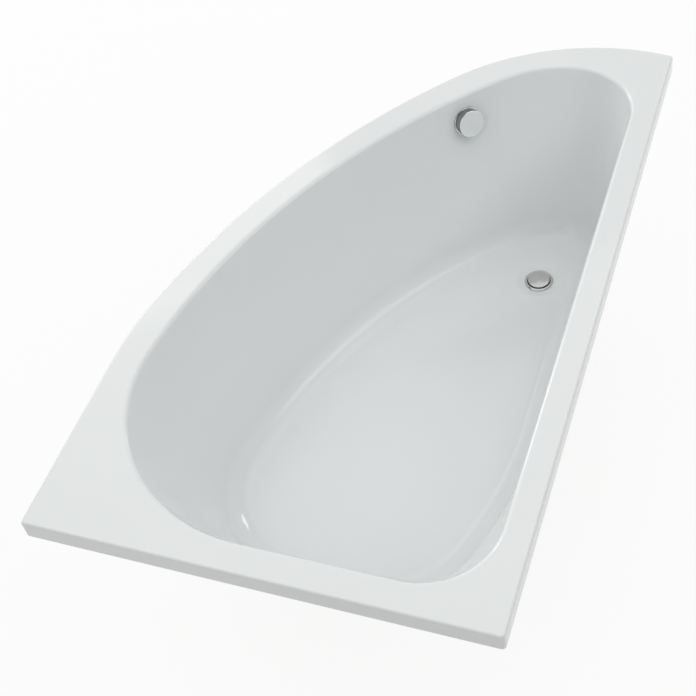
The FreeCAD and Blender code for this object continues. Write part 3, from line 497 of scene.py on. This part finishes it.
knob = {
    "radius": 0.0335, "low": 0.0063, "top": 0.0248, "wall": 0.002, "boss": 0.009,
    "dish": 0.0006, "dishEdge": 0.0085, "faceEdge": 0.004, "ceiling": 0.003,
    "roundings": (0.004, 0.002, 0.0012), "edge": 0.0005, "inner": 0.001,
    "steps": 240, "smooth": 30, "shadedBand": (0.031, 0.04),
    # more rings on the tall outer wall, so that the flutes can fade
    "tall": 0.01, "outside": 0.03, "wallShares": (0.05, 0.12, 0.2, 0.4, 0.6, 0.8, 0.9),
    "flutes": {"count": 24, "depth": 0.0014, "sharp": 1.5, "low": 0.0085, "high": 0.0242,
               "from": 0.03, "fadeLow": 0.002, "fadeHigh": 0.0012},
}


def makeKnob():
    s = knob
    radius, low, top = s["radius"], s["low"], s["top"]
    first, second, third = s["roundings"]
    run = roundedProfile([
        (0, top - s["dish"], 0), (radius - s["dishEdge"], top - s["dish"], first),
        (radius - s["faceEdge"], top, second), (radius, top, third),
        (radius, low, s["edge"]), (radius - s["wall"], low, s["edge"]),
        (radius - s["wall"], top - s["ceiling"], s["inner"]),
        (s["boss"], top - s["ceiling"], s["inner"]), (s["boss"], low, s["edge"]), (0, low, 0)])
    denser = []
    for (r1, z1), (r2, z2) in zip(run, run[1:]):
        denser.append((r1, z1))
        if abs(z1 - z2) > s["tall"] and r1 > s["outside"]:
            denser += [(mix(r1, r2, share), mix(z1, z2, share)) for share in s["wallShares"]]
    denser.append(run[-1])
    piece = drawTurned("overflowKnob", denser, s["steps"], s["flutes"])
    setPlace(piece, overflowFrame())
    smooth(piece, s["smooth"])
    return piece


rosette = {
    "radius": 0.036, "low": 0.0008, "top": 0.0038, "hub": 0.009, "hubLow": -0.024,
    "bore": 0.00505, "edge": 0.0014, "corner": 0.0003, "steps": 120, "smooth": 30,
    # each row: (circle, hole radius), places in degrees
    "holes": (((0.016, 0.005), (45, 90, 135, 225, 270, 315)), ((0.0225, 0.0024), (0, 180))),
    "holeSteps": 32, "holeDepth": 0.02, "shadedBand": (0.03, 0.04),
}


def makeRosette():
    s = rosette
    corner = s["corner"]
    run = roundedProfile([
        (s["bore"], s["top"], 0), (s["radius"], s["top"], s["edge"]),
        (s["radius"], s["low"], corner), (s["hub"], s["low"], corner),
        (s["hub"], s["hubLow"], corner), (s["bore"], s["hubLow"], 0), (s["bore"], s["top"], 0)])
    piece = drawTurned("overflowRosette", run, s["steps"])
    for (ring, radius), spins in s["holes"]:
        for spin in spins:
            clearSelection()
            bpy.ops.mesh.primitive_cylinder_add(vertices=s["holeSteps"], radius=radius,
                                                depth=s["holeDepth"], location=polar(ring, spin))
            cutWith(piece, bpy.context.active_object)
    setPlace(piece, overflowFrame())
    smooth(piece, s["smooth"])
    return piece


def wastePlace():
    return Matrix.Translation((waste["x"], waste["y"], 0))


flange = {
    "low": 0.1612, "radius": 0.035, "neck": 0.0235, "bore": 0.0215, "neckLow": 0.1372,
    "seat": 0.1585, "ledge": 0.0012, "rimHeight": 0.1622,
    # bead round the bore: radius, height, rounding
    "bead": [(0.0279, 0.1632, 0.0005), (0.0296, 0.1641, 0.0012), (0.0318, 0.164, 0.0012)],
    "corner": 0.0003, "neckCorner": 0.0004, "soft": 0.0006, "steps": 120, "smooth": 30,
}


def makeFlange():
    s = flange
    corner, soft, neckLow = s["corner"], s["soft"], s["neckLow"]
    inside = s["bore"] - s["ledge"]
    ledge = neckLow + s["ledge"]
    corners = [(inside, neckLow, 0), (inside, ledge, corner), (s["bore"], ledge, corner),
               (s["bore"], s["seat"], soft)]
    corners += s["bead"]
    corners += [(s["radius"], s["rimHeight"], soft), (s["radius"], s["low"], corner),
                (s["neck"], s["low"], s["neckCorner"]), (s["neck"], neckLow, corner),
                (inside, neckLow, 0)]
    piece = drawTurned("wasteFlange", roundedProfile(corners), s["steps"])
    setPlace(piece, wastePlace())
    smooth(piece, s["smooth"])
    return piece


plug = {
    "edgeLow": 0.1644, "radius": 0.027, "skirt": 0.0205, "skirtWall": 0.002, "boss": 0.007,
    # dome from the middle outwards: radius, height over the edge, rounding
    "dome": ((0, 0.0043, 0), (0.006, 0.00425, 0.02), (0.013, 0.0039, 0.02),
             (0.0205, 0.0035, 0.01), (0.0258, 0.0028, 0.003)),
    "edgeHeight": 0.0022, "edgeCorner": 0.0006, "skirtDrop": 0.0026, "hollow": 0.0004,
    "bossDrop": 0.005, "corner": 0.0003, "steps": 120, "smooth": 30,
    "shadedBand": (0.024, 0.03),
}


def makePlugCap():
    s = plug
    low = s["edgeLow"]
    corner, skirt = s["corner"], s["skirt"]
    within = skirt - s["skirtWall"]
    corners = [(radius, low + rise, rounding) for radius, rise, rounding in s["dome"]]
    corners += [(s["radius"], low + s["edgeHeight"], s["edgeCorner"]),
                (s["radius"], low, corner), (skirt, low, 0),
                (skirt, low - s["skirtDrop"], corner), (within, low - s["skirtDrop"], corner),
                (within, low + s["hollow"], corner), (s["boss"], low + s["hollow"], corner),
                (s["boss"], low - s["bossDrop"], corner), (0, low - s["bossDrop"], 0)]
    piece = drawTurned("plugCap", roundedProfile(corners), s["steps"])
    setPlace(piece, wastePlace())
    smooth(piece, s["smooth"])
    return piece


# hose and cable run in one upright plane: down, one quarter bend, level
route = {"inlet": 0.104, "bend": 0.07, "axisBack": -0.036, "handle": 0.02, "steps": 48}
quarterHandle = 0.5523   # handle length that makes a Bezier span a quarter circle


def hosePlane():
    # from the outlet axis to the waste: x runs level towards the waste
    axis = overflowFrame() @ Vector((0, 0, route["axisBack"]))
    line = Vector((waste["x"] - axis.x, waste["y"] - axis.y, 0))
    turn = Matrix.Rotation(math.atan2(line.y, line.x), 4, "Z")
    return Matrix.Translation((axis.x, axis.y, 0)) @ turn, line.length, axis.z


def bendCurve(name, top, bend, run, stop, x, y):
    # four Bezier points with their handles along the tangents
    clearSelection()
    bpy.ops.curve.primitive_bezier_curve_add(location=(0, 0, 0))
    curve = bpy.context.active_object
    curve.name = name
    spline = curve.data.splines[0]
    spline.bezier_points.add(2)
    grip = quarterHandle * bend
    spots = [((x, y, top), (0, 0, -1)), ((x, y, run + bend), (0, 0, -1)),
             ((x + bend, y, run), (1, 0, 0)), ((stop, y, run), (1, 0, 0))]
    for index, (point, (spot, along)) in enumerate(zip(spline.bezier_points, spots)):
        before = grip if index == 2 else route["handle"]
        after = grip if index == 1 else route["handle"]
        point.handle_left_type = "FREE"
        point.handle_right_type = "FREE"
        point.co = spot
        point.handle_left = Vector(spot) - Vector(along) * before
        point.handle_right = Vector(spot) + Vector(along) * after
    curve.data.resolution_u = route["steps"]
    curve.data.dimensions = "3D"
    curve.data.twist_mode = "Z_UP"
    return curve


def followCurve(piece, curve):
    pick(piece)
    follow = piece.modifiers.new("follow", "CURVE")
    follow.object = curve
    follow.deform_axis = "POS_X"
    bpy.ops.object.modifier_apply(modifier="follow")
    bpy.data.objects.remove(curve)


def alongX(radius, x, count):
    return [Vector((x, radius * math.cos(step * math.tau / count),
                    radius * math.sin(step * math.tau / count))) for step in range(count)]


hose = {
    "inletReach": 0.062, "drop": 0.058, "crest": 0.014, "root": 0.0122, "bore": 0.0105,
    "pitch": 0.005, "cuff": 0.028, "crown": 0.0002, "steps": 40, "merge": 0.00005,
    # one rib: share of the pitch and the level there
    "rib": ((0.1, "root"), (0.2, "flank"), (0.3, "shoulder"), (0.5, "crest"),
            (0.7, "shoulder"), (0.8, "flank"), (0.9, "root"), (1.0, "root")),
    "cuffShares": (0, 0.25, 0.5, 0.75, 1), "smooth": 50,
}


def makeHose():
    s = hose
    plane, span, axisHeight = hosePlane()
    stop = span - s["inletReach"]
    top = axisHeight - s["drop"]
    bend = route["bend"]
    length = (top - route["inlet"] - bend) + quarter * bend + stop - bend
    ribs = int((length - 2 * s["cuff"]) / s["pitch"])
    start = (length - ribs * s["pitch"]) / 2
    levels = {"root": s["root"], "flank": (s["root"] + s["crest"]) / 2,
              "shoulder": s["crest"] - s["crown"], "crest": s["crest"]}
    rings = [alongX(s["root"], start, s["steps"])]
    for share, level in s["rib"]:
        rings.append(alongX(levels[level], start + share * s["pitch"], s["steps"]))
    rib = drawRings("overflowHose", rings)
    repeat = rib.modifiers.new("ribs", "ARRAY")
    repeat.count = ribs
    repeat.use_relative_offset = False
    repeat.use_constant_offset = True
    repeat.constant_offset_displace = (s["pitch"], 0, 0)
    repeat.use_merge_vertices = True
    repeat.merge_threshold = s["merge"]
    pick(rib)
    bpy.ops.object.modifier_apply(modifier="ribs")
    ends = []
    for low, high in ((0, start), (length - start, length)):
        steps = [mix(low, high, share) for share in s["cuffShares"]]
        ends.append(drawRings("cuff", [alongX(s["root"], x, s["steps"]) for x in steps]))
    piece = joinPieces(rib, *ends)
    turnOutwards(piece)
    giveWall(piece, s["root"] - s["bore"])
    followCurve(piece, bendCurve("hoseLine", top, bend, route["inlet"], stop, 0, 0))
    turnOutwards(piece)
    setPlace(piece, plane)
    smooth(piece, s["smooth"])
    return piece


cable = {"radius": 0.0025, "out": 0.025, "side": 0.01, "drop": 0.044, "leverReach": 0.034,
         "housing": 0.032, "steps": 24, "roundSteps": 6, "smooth": 40}


def makeCable():
    s = cable
    plane, span, axisHeight = hosePlane()
    bend = route["bend"] - s["out"]
    run = route["inlet"] + s["out"]
    stop = span - s["leverReach"] - s["housing"] / 2
    top = axisHeight - s["drop"]
    curve = bendCurve("controlCable", top, bend, run, stop, s["out"], s["side"])
    curve.data.bevel_depth = s["radius"]
    curve.data.bevel_resolution = s["roundSteps"]
    curve.data.use_fill_caps = True
    curve.data.resolution_u = s["steps"]
    pick(curve)
    bpy.ops.object.convert(target="MESH")
    piece = bpy.context.active_object
    turnOutwards(piece)
    setPlace(piece, plane)
    smooth(piece, s["smooth"])
    return piece


def newGroup(name, inputs):
    # every group gives a colour, a roughness and a height
    group = bpy.data.node_groups.new(name, "ShaderNodeTree")
    for label, kind, value in inputs:
        socket = group.interface.new_socket(name=label, in_out="INPUT",
                                            socket_type="NodeSocket" + kind)
        socket.default_value = value
    for label, kind in (("Colour", "Color"), ("Roughness", "Float"), ("Height", "Float")):
        group.interface.new_socket(name=label, in_out="OUTPUT", socket_type="NodeSocket" + kind)
    spot = group.nodes.new("ShaderNodeTexCoord").outputs["Object"]
    return group, group.nodes.new("NodeGroupInput").outputs, spot


def closeGroup(group, colour, rough, height):
    outside = group.nodes.new("NodeGroupOutput")
    for label, socket in (("Colour", colour), ("Roughness", rough), ("Height", height)):
        group.links.new(socket, outside.inputs[label])
    return group


def feed(tree, value, socket):
    # a socket is linked, anything else is set
    if isinstance(value, bpy.types.NodeSocket):
        tree.links.new(value, socket)
    else:
        socket.default_value = value


def addNode(tree, kind, settings=None, **values):
    # values feed the inputs by name, and i0, i1 and so on by number
    node = tree.nodes.new(kind)
    for key, value in (settings or {}).items():
        setattr(node, key, value)
    for key, value in values.items():
        numbered = key[0] == "i" and key[1:].isdigit()
        feed(tree, value, node.inputs[int(key[1:])] if numbered else node.inputs[key])
    return node


def math2(tree, operation, first, second=None):
    node = addNode(tree, "ShaderNodeMath", {"operation": operation}, i0=first)
    if second is not None:
        feed(tree, second, node.inputs[1])
    return node.outputs[0]


def blendColour(tree, share, first, second):
    node = addNode(tree, "ShaderNodeMix", {"data_type": "RGBA"}, i0=share, i6=first, i7=second)
    return node.outputs[2]


def softMask(tree, value, low, high):
    node = addNode(tree, "ShaderNodeMapRange", {"interpolation_type": "SMOOTHSTEP"}, Value=value)
    node.inputs["From Min"].default_value = low
    node.inputs["From Max"].default_value = high
    return node.outputs[0]


def noiseOn(tree, vector, scale, detail, rough):
    return addNode(tree, "ShaderNodeTexNoise", None, Vector=vector, Scale=scale, Detail=detail,
                   Roughness=rough).outputs[0]


def makeFormedSheet():
    # a vacuum formed sheet: long soft waves, and a film that dulls it in patches
    group, given, spot = newGroup("formedSheet", [
        ("Waves", "Float", 3.0), ("Tint", "Color", (0.8, 0.8, 0.8, 1)),
        ("Shade", "Color", (0.7, 0.7, 0.7, 1)), ("Gloss", "Float", 0.1), ("Film", "Float", 0.05)])
    waves = noiseOn(group, spot, given["Waves"], 1.0, 0.4)
    film = softMask(group, noiseOn(group, spot, 9.0, 4.0, 0.6), 0.42, 0.68)
    rough = math2(group, "ADD", given["Gloss"], math2(group, "MULTIPLY", film, given["Film"]))
    patch = softMask(group, noiseOn(group, spot, 2.2, 2.0, 0.5), 0.3, 0.7)
    colour = blendColour(group, patch, given["Tint"], given["Shade"])
    return closeGroup(group, colour, rough, waves)


def makeFineGrain():
    # moulded plastic, rubber and plated metal: a fine grain with slow cloudiness
    group, given, spot = newGroup("fineGrain", [
        ("Tint", "Color", (0.5, 0.5, 0.5, 1)), ("Shade", "Color", (0.4, 0.4, 0.4, 1)),
        ("Grain", "Float", 900.0), ("Clouds", "Float", 18.0),
        ("Rough Low", "Float", 0.3), ("Rough High", "Float", 0.5)])
    clouds = softMask(group, noiseOn(group, spot, given["Clouds"], 4.0, 0.6), 0.3, 0.7)
    grain = noiseOn(group, spot, given["Grain"], 2.0, 0.5)
    spread = math2(group, "SUBTRACT", given["Rough High"], given["Rough Low"])
    rough = math2(group, "ADD", given["Rough Low"], math2(group, "MULTIPLY", spread, clouds))
    colour = blendColour(group, clouds, given["Tint"], given["Shade"])
    return closeGroup(group, colour, rough, grain)


def makeStrands():
    # chopped glass strands set in resin, laid in five directions
    group, given, spot = newGroup("glassStrands", [
        ("Resin", "Color", (0.6, 0.58, 0.45, 1)), ("Strand", "Color", (0.8, 0.8, 0.72, 1)),
        ("Scale", "Float", 60.0)])
    strands = None
    for turn in ((0.2, 0.5, 0.1), (1.1, 0.2, 0.9), (0.5, 1.4, 2.1), (2.3, 0.8, 0.4),
                 (1.7, 1.9, 1.3)):
        laid = addNode(group, "ShaderNodeMapping", None, Vector=spot, Rotation=turn,
                       Scale=(1.0, 0.12, 1.0)).outputs[0]
        fine = math2(group, "MULTIPLY", given["Scale"], 4.0)
        ridge = softMask(group, noiseOn(group, laid, fine, 1.0, 0.5), 0.56, 0.66)
        strands = ridge if strands is None else math2(group, "MAXIMUM", strands, ridge)
    lumps = noiseOn(group, spot, given["Scale"], 3.0, 0.55)
    wet = softMask(group, noiseOn(group, spot, 7.0, 3.0, 0.6), 0.4, 0.65)
    shown = math2(group, "MULTIPLY", strands, 0.55)
    colour = blendColour(group, shown, given["Resin"], given["Strand"])
    soaked = math2(group, "MULTIPLY", wet, 0.25)
    colour = blendColour(group, soaked, colour, (0.5, 0.47, 0.34, 1))
    rough = math2(group, "SUBTRACT", 0.62, math2(group, "MULTIPLY", wet, 0.3))
    height = math2(group, "ADD", math2(group, "MULTIPLY", strands, 0.4), lumps)
    return closeGroup(group, colour, rough, height)


def makeGrainedWood():
    # year rings drawn out along the board, with pores
    group, given, spot = newGroup("grainedWood", [
        ("Early", "Color", (0.6, 0.42, 0.24, 1)), ("Late", "Color", (0.4, 0.25, 0.12, 1)),
        ("Stretch", "Vector", (1.0, 12.0, 12.0))])
    drawn = addNode(group, "ShaderNodeVectorMath", {"operation": "MULTIPLY"}, i0=spot,
                    i1=given["Stretch"]).outputs[0]
    bend = noiseOn(group, drawn, 2.0, 2.0, 0.5)
    rings = math2(group, "SINE", math2(group, "MULTIPLY", bend, 60.0))
    rings = softMask(group, rings, -0.8, 0.9)
    pores = noiseOn(group, drawn, 90.0, 2.0, 0.6)
    dark = math2(group, "MULTIPLY", softMask(group, pores, 0.6, 0.75), 0.35)
    colour = blendColour(group, rings, given["Early"], given["Late"])
    colour = blendColour(group, dark, colour, (0.2, 0.12, 0.06, 1))
    rough = math2(group, "ADD", 0.55, math2(group, "MULTIPLY", rings, 0.15))
    return closeGroup(group, colour, rough, math2(group, "ADD", rings, pores))


def makeChips():
    # pressed wood chips of mixed colour
    group, given, spot = newGroup("pressedChips", [
        ("Pale", "Color", (0.66, 0.5, 0.3, 1)), ("Dark", "Color", (0.34, 0.22, 0.11, 1)),
        ("Size", "Float", 160.0)])
    shake = addNode(group, "ShaderNodeTexNoise", None, Vector=spot, Scale=70.0, Detail=2.0)
    moved = addNode(group, "ShaderNodeVectorMath", {"operation": "MULTIPLY_ADD"},
                    i0=shake.outputs["Color"], i1=(0.012, 0.012, 0.012), i2=spot)
    cells = addNode(group, "ShaderNodeTexVoronoi", None, Vector=moved.outputs[0],
                    Scale=given["Size"])
    split = addNode(group, "ShaderNodeSeparateColor", None, Color=cells.outputs["Color"])
    chip = softMask(group, split.outputs[0], 0.1, 0.95)
    colour = blendColour(group, chip, given["Pale"], given["Dark"])
    fleck = math2(group, "MULTIPLY", softMask(group, split.outputs[1], 0.86, 0.9), 0.7)
    colour = blendColour(group, fleck, colour, (0.8, 0.7, 0.5, 1))
    rough = math2(group, "ADD", 0.6, math2(group, "MULTIPLY", split.outputs[2], 0.2))
    return closeGroup(group, colour, rough, cells.outputs["Distance"])


groups = {"sheet": makeFormedSheet(), "grain": makeFineGrain(), "strands": makeStrands(),
          "wood": makeGrainedWood(), "chips": makeChips()}


def newFinish(name, group, values, shader, bump):
    # one group for the changing parts, fixed numbers straight on the shader
    finish = bpy.data.materials.new(name)
    finish.use_nodes = True
    tree = finish.node_tree
    surface = tree.nodes["Principled BSDF"]
    effect = tree.nodes.new("ShaderNodeGroup")
    effect.node_tree = groups[group]
    for label, value in values.items():
        effect.inputs[label].default_value = value
    tree.links.new(effect.outputs["Colour"], surface.inputs["Base Color"])
    tree.links.new(effect.outputs["Roughness"], surface.inputs["Roughness"])
    relief = tree.nodes.new("ShaderNodeBump")
    relief.inputs["Strength"].default_value = bump[0]
    relief.inputs["Distance"].default_value = bump[1]
    tree.links.new(effect.outputs["Height"], relief.inputs["Height"])
    tree.links.new(relief.outputs["Normal"], surface.inputs["Normal"])
    for label, value in shader.items():
        surface.inputs[label].default_value = value
    return finish


def grey(value, warm=0.0):
    return (value * (1 + warm), value, value * (1 - warm), 1)


def grain(tint, shade, low, high, **more):
    # settings of a fine grain: two colours and the two ends of the roughness
    return {"Tint": tint, "Shade": shade, "Rough Low": low, "Rough High": high,
            **{label.capitalize(): value for label, value in more.items()}}


metal = {"Metallic": 1.0}
plastic = {"IOR": 1.49}
wooden = {"IOR": 1.45}

# material name, group, settings of the group, shader numbers, bump strength and distance
recipes = {
    "acrylic": ("whiteAcrylic", "sheet",
                {"Tint": (0.81, 0.826, 0.826, 1), "Shade": (0.798, 0.814, 0.814, 1),
                 "Waves": 2.6, "Gloss": 0.085, "Film": 0.02},
                {"IOR": 1.49, "Specular IOR Level": 0.5}, (0.1, 0.0006)),
    "fibre": ("glassFibre", "strands",
              {"Resin": (0.62, 0.6, 0.47, 1), "Strand": (0.78, 0.78, 0.7, 1), "Scale": 55.0},
              {"IOR": 1.5}, (0.9, 0.0012)),
    "chips": ("chipboard", "chips", {}, wooden, (0.35, 0.0004)),
    "timberX": ("timberAlongX", "wood", {"Stretch": (1.0, 14.0, 14.0)}, wooden, (0.4, 0.0005)),
    "timberY": ("timberAlongY", "wood", {"Stretch": (14.0, 1.0, 14.0)}, wooden, (0.4, 0.0005)),
    "plywood": ("plywood", "wood",
                {"Early": (0.68, 0.5, 0.3, 1), "Late": (0.5, 0.33, 0.17, 1),
                 "Stretch": (1.6, 8.0, 260.0)}, wooden, (0.3, 0.0004)),
    "zinc": ("zincSteel", "grain",
             grain((0.62, 0.64, 0.67, 1), (0.5, 0.52, 0.56, 1), 0.28, 0.46,
                   grain=500.0, clouds=60.0), metal, (0.15, 0.0002)),
    "chrome": ("polishedChrome", "grain",
               grain((0.86, 0.87, 0.875, 1), (0.83, 0.84, 0.85, 1), 0.05, 0.1,
                     grain=300.0, clouds=14.0), metal, (0.02, 0.0001)),
    "cap": ("domeChrome", "grain",
            grain((0.62, 0.62, 0.61, 1), (0.58, 0.58, 0.575, 1), 0.1, 0.16,
                  grain=300.0, clouds=14.0), metal, (0.02, 0.0001)),
    # painted shade: a darkened copy of the chrome for the upright sides of the knob, rosette and
    # cap, standing in for their shade and dark reflection
    "shadedBand": ("shadedBandChrome", "grain",
             grain((0.33, 0.335, 0.34, 1), (0.24, 0.245, 0.25, 1), 0.06, 0.12,
                   grain=300.0, clouds=30.0), metal, (0.02, 0.0001)),
    "brass": ("turnedBrass", "grain",
              grain((0.72, 0.56, 0.3, 1), (0.6, 0.45, 0.22, 1), 0.25, 0.4),
              metal, (0.1, 0.0001)),
    "rubber": ("softRubber", "grain", grain(grey(0.03), grey(0.045), 0.5, 0.7),
               {}, (0.3, 0.0002)),
    "white": ("whiteMoulding", "grain", grain(grey(0.74, 0.008), grey(0.7, 0.012), 0.32, 0.42),
              plastic, (0.12, 0.0001)),
    "nut": ("nutMoulding", "grain", grain(grey(0.66, 0.01), grey(0.61, 0.015), 0.34, 0.48),
            plastic, (0.15, 0.0001)),
    "hose": ("hoseMoulding", "grain", grain(grey(0.62, 0.01), grey(0.56, 0.015), 0.3, 0.42),
             {"IOR": 1.5}, (0.1, 0.0001)),
    "cam": ("greyMoulding", "grain", grain(grey(0.12), grey(0.09), 0.35, 0.5),
            {}, (0.15, 0.0001)),
    "dark": ("darkMoulding", "grain", grain(grey(0.035), grey(0.05), 0.4, 0.6),
             {}, (0.25, 0.0002)),
}
finishes = {key: newFinish(*recipe) for key, recipe in recipes.items()}
print("materials made:", len(finishes))


def keepNode(node, finish):
    # a model solid that stays, with a better finish
    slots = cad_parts[node].data.materials
    if not slots:
        slots.append(finishes[finish])
    for index in range(len(slots)):
        slots[index] = finishes[finish]


def place(piece, node, body, finish):
    piece.data.materials.clear()
    piece.data.materials.append(finishes[finish])
    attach(piece, body)
    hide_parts(node)
    print("made", piece.name, len(piece.data.polygons), "faces")


def paintShadedBand(name, matrix, least, most):
    # the upright band of a turned piece, between two radii, gets a second finish: a darkened
    # chrome that paints shade and dark reflection onto that side
    piece = bpy.data.objects[name]
    piece.data.materials.append(finishes["shadedBand"])
    back = matrix.inverted()
    turn = back.to_3x3()
    for polygon in piece.data.polygons:
        spot = back @ polygon.center
        upright = abs((turn @ polygon.normal).z) < uprightNormal
        if least < math.hypot(spot.x, spot.y) < most and upright:
            polygon.material_index = 1


place(makeShell(), "bath_shell", "bath", "acrylic")
place(makeBacking(), "fibreglass_backing", "bath", "fibre")
place(makeKnob(), "overflow_knob", "knob", "chrome")
place(makeRosette(), "overflow_rosette", "bath", "chrome")
place(makeFlange(), "waste_flange", "bath", "cap")
place(makePlugCap(), "plug_cap", "plug", "cap")
# painted shade: the upright sides of the knob, rosette and plug cap get the darkened chrome
paintShadedBand("overflowKnob", overflowFrame(), *knob["shadedBand"])
paintShadedBand("overflowRosette", overflowFrame(), *rosette["shadedBand"])
paintShadedBand("plugCap", wastePlace(), *plug["shadedBand"])
place(makeHose(), "overflow_hose", "bath", "hose")
place(makeCable(), "control_cable", "bath", "dark")

nodeFinishes = {
    "base_board": "chips", "back_batten": "timberX", "end_batten": "timberY",
    "ledge_board": "plywood", "wide_leg_rail": "zinc", "narrow_leg_rail": "zinc",
    "rail_screws": "zinc", "rail_nuts": "zinc", "lever_pin": "zinc",
    "waste_flange_seal": "rubber", "waste_gasket": "rubber", "trap_seal": "rubber",
    "outlet_seal": "rubber", "overflow_gasket": "rubber", "plug_seal": "rubber",
    "plug_stem": "brass", "overflow_spindle": "zinc", "overflow_screws": "chrome",
    "waste_body": "white", "trap_body": "white", "trap_cleaning_cap": "white",
    "overflow_body": "white", "plug_guide": "white", "lifter_lever": "white",
    "trap_nut": "nut", "outlet_nut": "nut", "upper_hose_nut": "nut", "lower_hose_nut": "nut",
    "cable_cam": "cam", "cable_clips": "cam",
}
for foot in ("wide_front", "wide_back", "narrow_front", "narrow_back"):
    nodeFinishes["foot_stud_" + foot] = "zinc"
    nodeFinishes["foot_pad_" + foot] = "dark"
for node, finish in nodeFinishes.items():
    keepNode(node, finish)
print("kept", len(nodeFinishes), "model solids with new finishes")

studio = {
    "floorSize": 14.0, "floorColour": (0.86, 0.86, 0.86, 1), "floorWhite": 0.9,
    "airLight": 0.39, "airColour": (0.99, 1.0, 1.0, 1),
    "backdropDark": 0.14, "backdropFrom": 0.22, "backdropTo": 0.5,
    "lamps": {
        # name: place, aim, width, depth, power
        "overhead": ((-0.6, -0.2, 4.2), (0.0, 0.0, 0.4), 5.0, 5.0, 62.0),
        "leftBox": ((-3.0, -3.4, 3.0), (0.0, 0.0, 0.4), 3.0, 3.0, 40.0),
        "backBox": ((0.2, 3.0, 3.4), (0.0, 0.0, 0.4), 3.0, 1.6, 27.0),
        "frontBox": ((0.6, -3.8, 2.6), (0.0, 0.0, 0.4), 3.0, 2.4, 18.0),
        "wideBox": ((3.0, -0.6, 3.4), (0.0, 0.0, 0.4), 2.0, 2.4, 15.0),
        "glint": ((-2.4, -3.0, 2.3), (0.2, 0.2, 0.5), 0.8, 0.8, 12.0),
        "endGlint": ((-2.8, 0.55, 1.7), (0.4, -0.2, 0.2), 0.5, 0.5, 5.0),
    },
}

# camera solved from the rim and floor outlines in the picture; focal and picture in pixels
view = {
    "right": (-0.32156476, 0.93741212, -0.13362117),
    "down": (0.7463557, 0.16408536, -0.64500323),
    "forward": (-0.58270857, -0.30713923, -0.75240695),
    "place": (1.827376, 0.836855, 2.620073),
    "focal": 1331.603, "picture": 696, "sensor": 36, "clipEnd": 60,
}


def seenDirectly(tree):
    # 1 for rays from the camera, through glass and off gloss, 0 for the rest
    rays = tree.nodes.new("ShaderNodeLightPath").outputs
    seen = math2(tree, "MAXIMUM", rays["Is Camera Ray"], rays["Is Transmission Ray"])
    return math2(tree, "MAXIMUM", seen, rays["Is Glossy Ray"])


def mixShaders(tree, share, first, second, kind):
    out = tree.nodes.new(kind)
    both = addNode(tree, "ShaderNodeMixShader", None, i0=share, i1=first, i2=second)
    tree.links.new(both.outputs[0], out.inputs["Surface"])


def makeFloor():
    clearSelection()
    bpy.ops.mesh.primitive_plane_add(size=studio["floorSize"], location=(0, 0, 0))
    floor = bpy.context.active_object
    floor.name = "studioFloor"
    paper = bpy.data.materials.new("studioPaper")
    paper.use_nodes = True
    tree = paper.node_tree
    tree.nodes.clear()
    matt = addNode(tree, "ShaderNodeBsdfDiffuse", None, Color=studio["floorColour"])
    glow = addNode(tree, "ShaderNodeEmission", None, Color=(1, 1, 1, 1), Strength=1.0)
    share = math2(tree, "MULTIPLY", seenDirectly(tree), studio["floorWhite"])
    mixShaders(tree, share, matt.outputs[0], glow.outputs[0], "ShaderNodeOutputMaterial")
    floor.data.materials.append(paper)


def makeWorld():
    # even light on matt surfaces, and for the rest a backdrop: white low down, dark above
    s = studio
    world = bpy.data.worlds.new("studioAir")
    bpy.context.scene.world = world
    world.use_nodes = True
    tree = world.node_tree
    tree.nodes.clear()
    light = addNode(tree, "ShaderNodeBackground", None, Color=s["airColour"],
                    Strength=s["airLight"])
    way = tree.nodes.new("ShaderNodeTexCoord").outputs["Generated"]
    way = addNode(tree, "ShaderNodeSeparateXYZ", None, Vector=way)
    above = softMask(tree, way.outputs["Z"], s["backdropFrom"], s["backdropTo"])
    tone = blendColour(tree, above, (1, 1, 1, 1), (s["backdropDark"],) * 3 + (1,))
    backdrop = addNode(tree, "ShaderNodeBackground", None, Color=tone, Strength=1.0)
    mixShaders(tree, seenDirectly(tree), light.outputs[0], backdrop.outputs[0],
               "ShaderNodeOutputWorld")


def makeLamp(name, spot, aim, width, depth, power):
    clearSelection()
    bpy.ops.object.light_add(type="AREA", location=spot)
    lamp = bpy.context.active_object
    lamp.name = name
    lamp.data.shape = "RECTANGLE"
    lamp.data.size = width
    lamp.data.size_y = depth
    lamp.data.energy = power
    lamp.rotation_mode = "QUATERNION"
    lamp.rotation_quaternion = (Vector(aim) - Vector(spot)).to_track_quat("-Z", "Y")


def makeCamera():
    bpy.ops.object.camera_add()
    camera = bpy.context.active_object
    camera.name = "photoCamera"
    rows = (Vector(view["right"]), -Vector(view["down"]), -Vector(view["forward"]))
    turn = Matrix(rows).transposed().to_4x4()
    camera.matrix_world = Matrix.Translation(view["place"]) @ turn
    camera.data.lens = view["focal"] * view["sensor"] / view["picture"]
    camera.data.sensor_width = view["sensor"]
    camera.data.clip_end = view["clipEnd"]
    bpy.context.scene.camera = camera


makeFloor()
makeWorld()
for lampName, values in studio["lamps"].items():
    makeLamp(lampName, *values)
makeCamera()
bpy.context.scene.view_settings.view_transform = "Standard"
print("studio ready")
